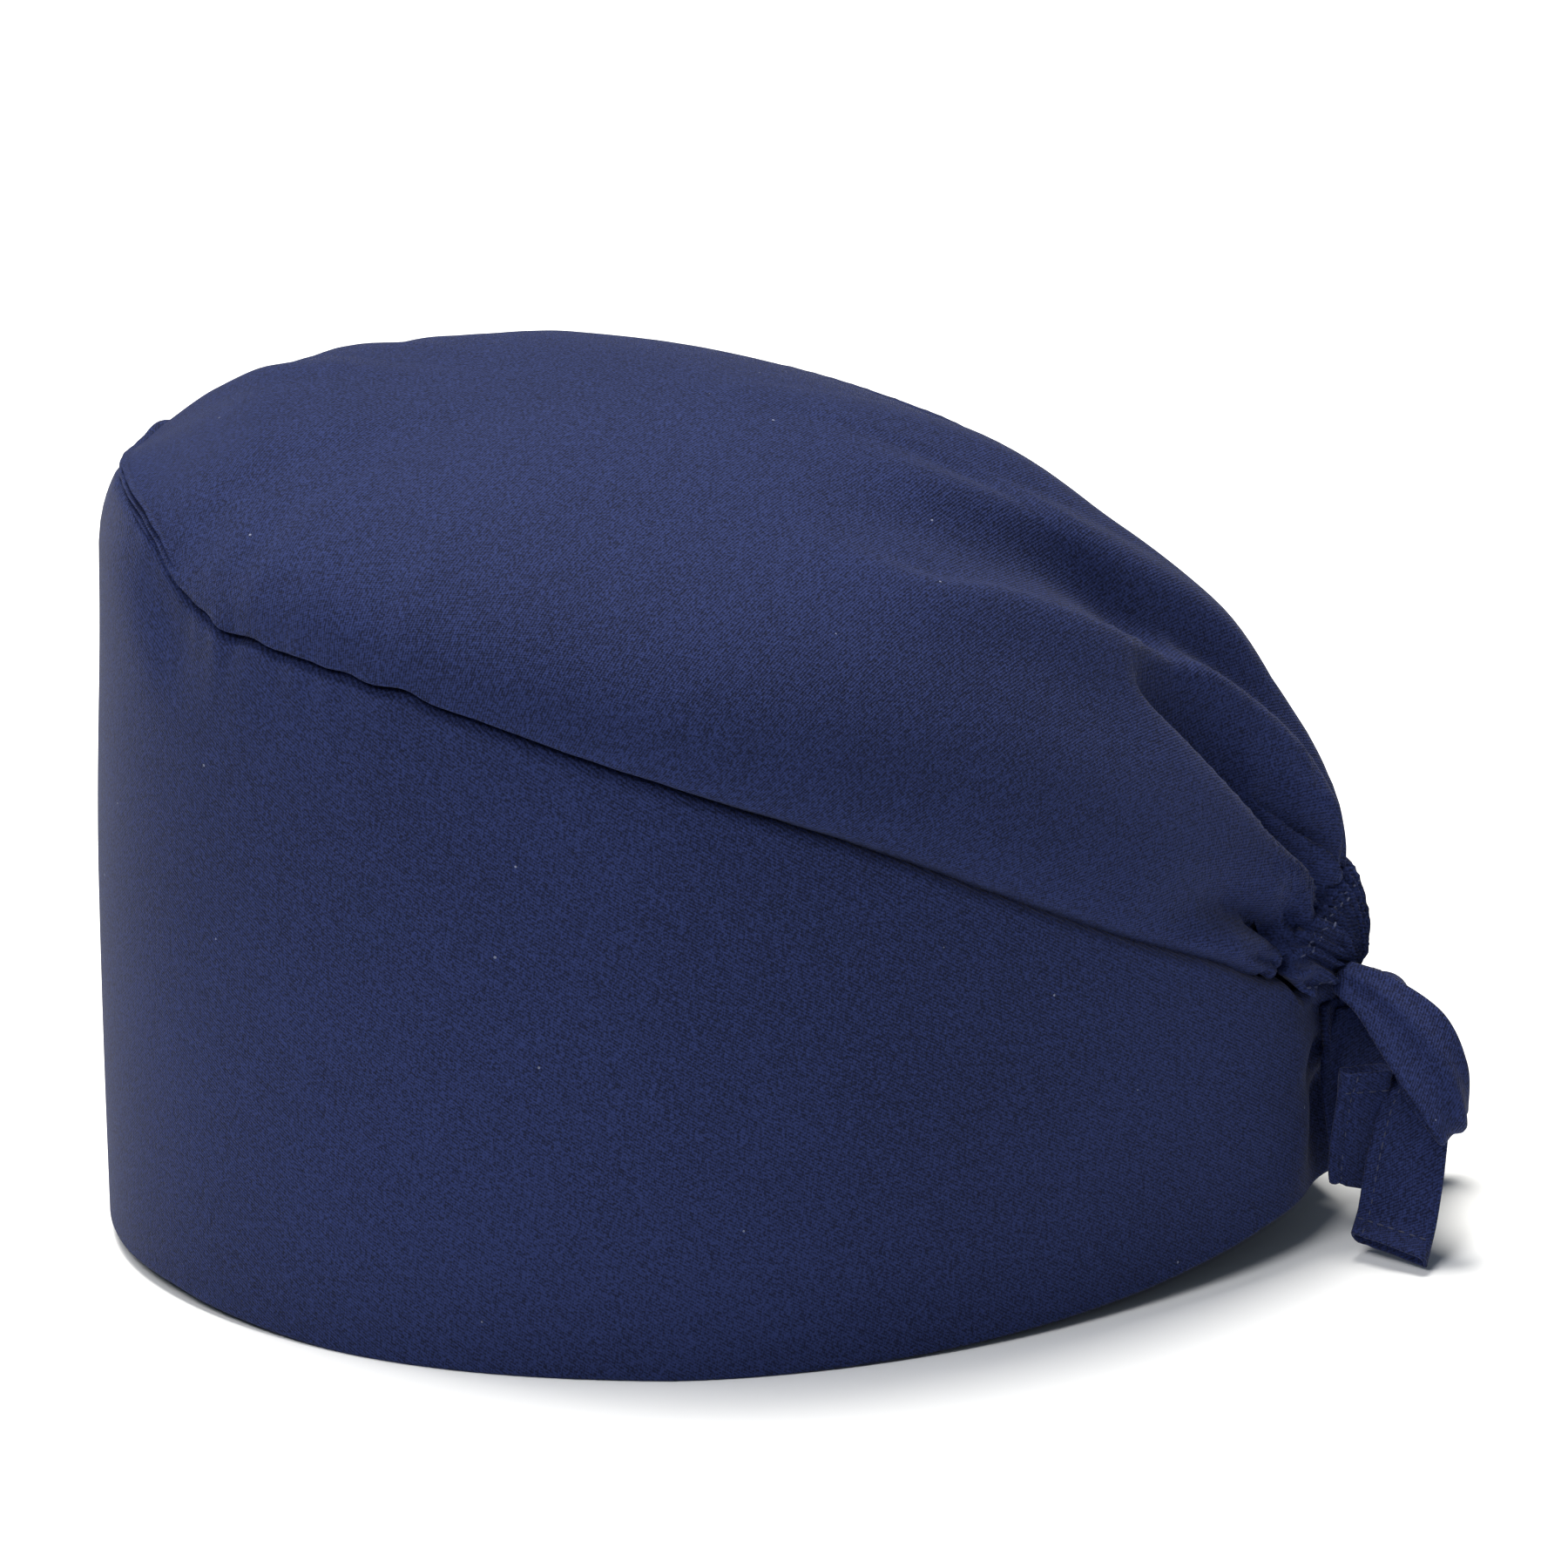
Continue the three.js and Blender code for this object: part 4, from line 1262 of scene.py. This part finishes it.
def floor_finish():
    f = Finish("pale_floor")
    cloud = f.noise(FLOOR_CLOUD_SCALE, detail=2.0)
    return f.close({"Base Color": f.mix(cloud, rgba(FLOOR_DARK), rgba(FLOOR_LIGHT)), "Roughness": 0.9})


NAVY = twill_finish("navy_twill", (0.0116, 0.0182, 0.0655))
TIE_NAVY = twill_finish("navy_tie", (0.0106, 0.0166, 0.0615))
TIE_THREAD = thread_finish("tie_thread", (0.008, 0.012, 0.042), (0.014, 0.020, 0.060))
CASING_THREAD = thread_finish("casing_thread", (0.016, 0.025, 0.080), (0.034, 0.047, 0.115))


# Geometry trees
class Tree(Nodes):
    """A Geometry Nodes tree under construction. start holds its named inputs."""

    def __init__(self, name, inputs):
        super().__init__(bpy.data.node_groups.new(name, "GeometryNodeTree"))
        face = self.tree.interface
        face.new_socket("Geometry", in_out="INPUT", socket_type="NodeSocketGeometry")
        self.names = {}
        for label, (kind, default) in inputs.items():
            socket = face.new_socket(label, in_out="INPUT", socket_type=kind)
            socket.default_value = default
            self.names[label] = socket.identifier
        face.new_socket("Geometry", in_out="OUTPUT", socket_type="NodeSocketGeometry")
        self.start = self.node("NodeGroupInput").outputs

    def attribute(self, name, kind):
        """The output of a named attribute that carries values of a kind."""
        node = self.node("GeometryNodeInputNamedAttribute", {"data_type": kind}, {"Name": name})
        return next(output for output in node.outputs if output.enabled and output.name == "Attribute")

    def close(self, geometry, finish):
        """Ends the tree in plain geometry with one material."""
        real = self.node("GeometryNodeRealizeInstances", None, {0: geometry}).outputs[0]
        dressed = self.node("GeometryNodeSetMaterial", None, {"Geometry": real, "Material": finish})
        self.node("NodeGroupOutput", None, {0: dressed.outputs[0]})
        return self

    def run(self, piece, **values):
        """Runs the tree on a piece and leaves the result as the piece's plain mesh."""
        modifier = piece.modifiers.new(self.tree.name, "NODES")
        modifier.node_group = self.tree
        for label, value in values.items():
            modifier[self.names[label.replace("_", " ")]] = value
        bpy.context.view_layer.update()
        depsgraph = bpy.context.evaluated_depsgraph_get()
        result = bpy.data.meshes.new_from_object(piece.evaluated_get(depsgraph))
        piece.modifiers.remove(modifier)
        old = piece.data
        piece.data = result
        result.name = piece.name
        bpy.data.meshes.remove(old)
        return piece


STITCH_SIZES = (0.86, 1.1)


def stitch_tree():
    """Lays stitches flat on the cloth along a sewn line, whose points carry the cloth's outward way."""
    sizes = {
        "Pitch": ("NodeSocketFloat", 0.002),
        "Stitch Length": ("NodeSocketFloat", 0.0015),
        "Thread": ("NodeSocketFloat", 0.0004),
        "Seed": ("NodeSocketInt", 3),
        "Finish": ("NodeSocketMaterial", TIE_THREAD),
    }
    t = Tree("sewn_line", sizes)
    start = t.start
    line = t.node("GeometryNodeMeshToCurve", None, {0: start["Geometry"]})
    spaced = {"Curve": line.outputs[0], "Length": start["Pitch"]}
    even = t.node("GeometryNodeResampleCurve", {"mode": "LENGTH"}, spaced)
    bead = t.node("GeometryNodeMeshUVSphere", None, {"Segments": 8, "Rings": 5, "Radius": 0.5})
    thick = start["Thread"]
    size = t.node("ShaderNodeCombineXYZ", None, {0: start["Stitch Length"], 1: thick, 2: thick})
    thread = t.node("GeometryNodeTransform", None, {"Geometry": bead.outputs[0], "Scale": size.outputs[0]})
    round_bead = t.node("GeometryNodeSetShadeSmooth", None, {"Geometry": thread.outputs[0]})
    way = t.node("GeometryNodeInputTangent")
    out = t.attribute("out", "FLOAT_VECTOR")
    along = t.node("FunctionNodeAlignRotationToVector", {"axis": "X"}, {"Vector": way.outputs[0]})
    settled = t.node(
        "FunctionNodeAlignRotationToVector",
        {"axis": "Z", "pivot_axis": "X"},
        {"Rotation": along.outputs[0], "Vector": out},
    )
    low, high = STITCH_SIZES
    drawn = {2: low, 3: high, "Seed": start["Seed"]}
    draw = t.node("FunctionNodeRandomValue", {"data_type": "FLOAT"}, drawn)
    laid = t.node(
        "GeometryNodeInstanceOnPoints",
        None,
        {
            "Points": even.outputs[0],
            "Instance": round_bead.outputs[0],
            "Rotation": settled.outputs[0],
            "Scale": draw.outputs[1],
        },
    )
    return t.close(laid.outputs[0], start["Finish"])


STITCHES = stitch_tree()


def sewn_line(name, paths, finish, pitch, length, thread):
    """An object of stitches along paths of (points, outward ways), in millimetres."""
    points = np.concatenate([p for p, _ in paths])
    ways = np.concatenate([w for _, w in paths])
    edges, first = [], 0
    for p, _ in paths:
        edges.extend([(first + i, first + i + 1) for i in range(len(p) - 1)])
        first += len(p)
    mesh = bpy.data.meshes.new(name)
    mesh.from_pydata(in_row(points).tolist(), edges, [])
    out = mesh.attributes.new("out", "FLOAT_VECTOR", "POINT")
    out.data.foreach_set("vector", np.asarray(ways, np.float32).ravel())
    return STITCHES.run(
        add_object(name, mesh),
        Pitch=pitch * MILLIMETRE,
        Stitch_Length=length * MILLIMETRE,
        Thread=thread * MILLIMETRE,
        Finish=finish,
    )


PLEAT_NOISE_SCALE = 160.0
PLEAT_NOISE_MIDDLE = 0.5
PLEAT_STAND = 0.6


def gather_tree():
    """Draws the casing's outer face into uneven pleats along its length."""
    sizes = {
        "Pleat Depth": ("NodeSocketFloat", 0.0027),
        "Unevenness": ("NodeSocketFloat", 0.7),
        "Seed": ("NodeSocketFloat", 7.0),
        "Cloth": ("NodeSocketMaterial", NAVY),
    }
    t = Tree("elastic_gathers", sizes)
    start = t.start
    normal = t.node("GeometryNodeInputNormal").outputs[0]
    spot = t.node("GeometryNodeInputPosition").outputs[0]
    noise = {"Vector": spot, "W": start["Seed"], "Scale": PLEAT_NOISE_SCALE}
    drift = t.value("ShaderNodeTexNoise", 0, {"noise_dimensions": "4D"}, noise)
    swing = (drift - PLEAT_NOISE_MIDDLE) * start["Unevenness"]
    phase = Value(t, t.attribute("phase", "FLOAT")) + swing
    ridge = phase.sine().size().power(PLEAT_SHARPNESS)
    depth = (ridge - PLEAT_STAND) * t.attribute("facing", "FLOAT") * start["Pleat Depth"]
    offset = t.node("ShaderNodeVectorMath", {"operation": "SCALE"}, {0: normal, "Scale": depth}).outputs[0]
    moved = t.node("GeometryNodeSetPosition", None, {"Geometry": start["Geometry"], "Offset": offset})
    return t.close(moved.outputs[0], start["Cloth"])


GATHERS = gather_tree()


def make_band():
    loops, flat = band_loops()
    count, sides = loops.shape[:2]
    half = (sides - (RIM_ROUND_STEPS - 1)) // 2
    faces = grid_faces(count, sides) + fold_caps(count, sides, half)
    fold = list(range(2 * half, sides))
    ends = [[0, 2 * half - 1, *fold], [(count - 1) * sides + j for j in (0, *fold[::-1], 2 * half - 1)]]
    return cloth_object("band_cloth", [(loops, flat, faces + ends)], NAVY)


def make_crown():
    lines, flat, top, under = crown_lines()
    count, sides = lines.shape[:2]
    points = np.concatenate([lines.reshape(-1, 3), [top, under]])
    places = np.concatenate([flat.reshape(-1, 2), [(0, 0), (0, 0)]])
    faces = grid_faces(count, sides, wrap_count=True, wrap_sides=False)
    faces = [face[::-1] for face in faces]
    crest, hollow = len(points) - 2, len(points) - 1
    for i in range(count):
        following = (i + 1) % count
        faces.append([crest, i * sides, following * sides])
        faces.append([hollow, following * sides + sides - 1, i * sides + sides - 1])
    return cloth_object("crown_cloth", [(points, places, faces)], NAVY)


def make_casing():
    loops, flat, facing, phase = casing_loops()
    count, sides = loops.shape[:2]
    faces = grid_faces(count, sides) + cap_fans(count, sides)
    piece = cloth_object("casing_cloth", [(loops, flat, faces)], NAVY)
    for name, values in (("facing", facing), ("phase", phase)):
        attribute = piece.data.attributes.new(name, "FLOAT", "POINT")
        attribute.data.foreach_set("value", values.astype(np.float32).ravel())
    return GATHERS.run(piece)


def strip_part(strip):
    loops, flat = strip.loops()
    count, sides = loops.shape[:2]
    return loops, flat, grid_faces(count, sides) + cap_fans(count, sides)


def knot_part(name):
    points, flat = knot_loops(*KNOT_PARTS[name])
    return points, flat, grid_faces(*points.shape[:2], wrap_count=True)


def make_tie(name, strips, names, knot):
    parts = [strip_part(strips[key]) for key in names] + [knot_part(knot)]
    return cloth_object(name, parts, TIE_NAVY)


BOTH_FACES = (1, -1)
TAIL_STITCH_END = 0.8
LONG_STITCH_START = 10.0
SHORT_STITCH_START = 24.0


def tie_stitches(name, strip, start):
    """The sewn edge of a tie's tail and the line across its hem, on both faces."""
    paths = []
    for face in BOTH_FACES:
        paths.append(strip.sewn(TOPSTITCH_INSET, start, strip.length - TAIL_STITCH_END, face))
        paths.append(strip.sewn_across(strip.length - HEM_DEPTH, face))
    return sewn_line(name, paths, TIE_THREAD, pitch=1.9, length=1.35, thread=0.32)


CASING_STITCH_INSET = 1.6
CASING_STITCH_STEPS = 400
CASING_STITCH_FROM = 0.2
# Insets between which the stitches are dropped onto the cloth
CASING_STITCH_DROP_FROM = -8.0
CASING_STITCH_DROP_TO = 2.0


def casing_stitches(cloth):
    """A sewn line along each edge of the casing, laid onto its pleats."""
    tree = BVHTree.FromPolygons(
        [v.co.copy() for v in cloth.data.vertices], [list(p.vertices) for p in cloth.data.polygons]
    )
    _, around = back_places(lerp(CASING_START, 1, CASING_STITCH_FROM), CASING_STITCH_STEPS)
    x_out, station_out = OUTLINE.at(around, CASING_STITCH_DROP_FROM)
    x_in, station_in = OUTLINE.at(around, CASING_STITCH_DROP_TO)
    paths = []
    for z in (casing_top(around) - CASING_STITCH_INSET, casing_bottom(around) + CASING_STITCH_INSET):
        outside = in_row(np.stack([x_out, station_out, z], -1))
        inside = in_row(np.stack([x_in, station_in, z], -1))
        spots, ways = [], []
        for begin, end in zip(outside, inside):
            way = Vector(end - begin).normalized()
            spot = tree.ray_cast(Vector(begin), way)[0]
            if spot is not None:
                spots.append(np.array(spot) / MILLIMETRE + np.array([0, ROW_STATION, 0]))
                ways.append(np.array(-way))
        paths.append((np.array(spots), np.array(ways)))
    return sewn_line("casing_stitches", paths, CASING_THREAD, pitch=2.1, length=1.3, thread=0.36)


def face_outwards(piece):
    """Turns the faces of each closed shell outwards."""
    bpy.context.view_layer.objects.active = piece
    for other in bpy.context.selected_objects:
        other.select_set(False)
    piece.select_set(True)
    bpy.ops.object.mode_set(mode="EDIT")
    bpy.ops.mesh.select_all(action="SELECT")
    bpy.ops.mesh.normals_make_consistent(inside=False)
    bpy.ops.object.mode_set(mode="OBJECT")


def make_camera():
    data = bpy.data.cameras.new("photo_camera")
    data.lens = CAMERA_LENS
    data.sensor_width = CAMERA_SENSOR
    camera = add_object("photo_camera", data)
    tilt = math.radians(CAMERA_ELEVATION)
    aim = Vector(CAMERA_AIM)
    away = Vector((math.cos(tilt), 0, math.sin(tilt)))
    camera.location = aim + away * CAMERA_DISTANCE
    camera.rotation_euler = (-away).to_track_quat("-Z", "Y").to_euler()
    bpy.context.scene.camera = camera


# Columns: name, place, size, power, colour
LIGHTS = (
    ("key_softbox", (1.6, -0.85, 1.9), 0.9, 39, (1.0, 0.96, 0.90)),
    ("top_softbox", (-0.4, -0.35, 2.2), 1.1, 99, (1.0, 0.94, 0.83)),
    ("fill_softbox", (2.4, 0.3, 0.9), 1.6, 2, (0.80, 0.90, 1.0)),
)
LIGHT_AIM = (0, 0, 0.07)
WORLD_COLOUR = (0.80, 0.90, 1)
WORLD_STRENGTH = 0.13


def make_lights():
    for name, place, size, power, colour in LIGHTS:
        data = bpy.data.lights.new(name, "AREA")
        data.shape = "SQUARE"
        data.size = size
        data.energy = power
        data.color = colour
        lamp = add_object(name, data)
        lamp.location = place
        lamp.rotation_euler = (Vector(LIGHT_AIM) - Vector(place)).to_track_quat("-Z", "Y").to_euler()
    world = bpy.data.worlds.new("studio")
    world.use_nodes = True
    background = world.node_tree.nodes["Background"].inputs
    background["Color"].default_value = rgba(WORLD_COLOUR)
    background["Strength"].default_value = WORLD_STRENGTH
    bpy.context.scene.world = world
    bpy.context.scene.view_settings.view_transform = "Standard"


FLOOR_HALF = 6.0


def make_floor():
    mesh = bpy.data.meshes.new("floor")
    corners = [(x * FLOOR_HALF, y * FLOOR_HALF, 0) for x, y in ((-1, -1), (1, -1), (1, 1), (-1, 1))]
    mesh.from_pydata(corners, [], [(0, 1, 2, 3)])
    mesh.materials.append(floor_finish())
    floor = add_object("floor", mesh)


make_camera()
make_lights()
make_floor()

strips = tie_strips()
band = make_band()
crown = make_crown()
casing = make_casing()
tie_left = make_tie("tie_left_cloth", strips, ("left_lead", "short_tail", "far_loop"), "core")
tie_right = make_tie("tie_right_cloth", strips, ("right_lead", "near_loop", "long_tail"), "wrap")
for piece in (band, crown, casing, tie_left, tie_right):
    face_outwards(piece)

long_stitches = tie_stitches("long_tail_stitches", strips["long_tail"], LONG_STITCH_START)
short_stitches = tie_stitches("short_tail_stitches", strips["short_tail"], SHORT_STITCH_START)
edge_stitches = casing_stitches(casing)
STITCH_SLOTS = (
    (long_stitches, "navy_tie"),
    (short_stitches, "navy_tie"),
    (edge_stitches, "navy_twill"),
)
for piece, slot in STITCH_SLOTS:
    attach(piece, "root")

NODE_PIECES = (
    (band, "band", "navy_twill"),
    (crown, "crown", "navy_twill"),
    (casing, "elastic_casing", "navy_twill"),
    (tie_left, "tie_left", "navy_tie"),
    (tie_right, "tie_right", "navy_tie"),
)
for piece, node, slot in NODE_PIECES:
    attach(piece, "root")
    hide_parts(node)
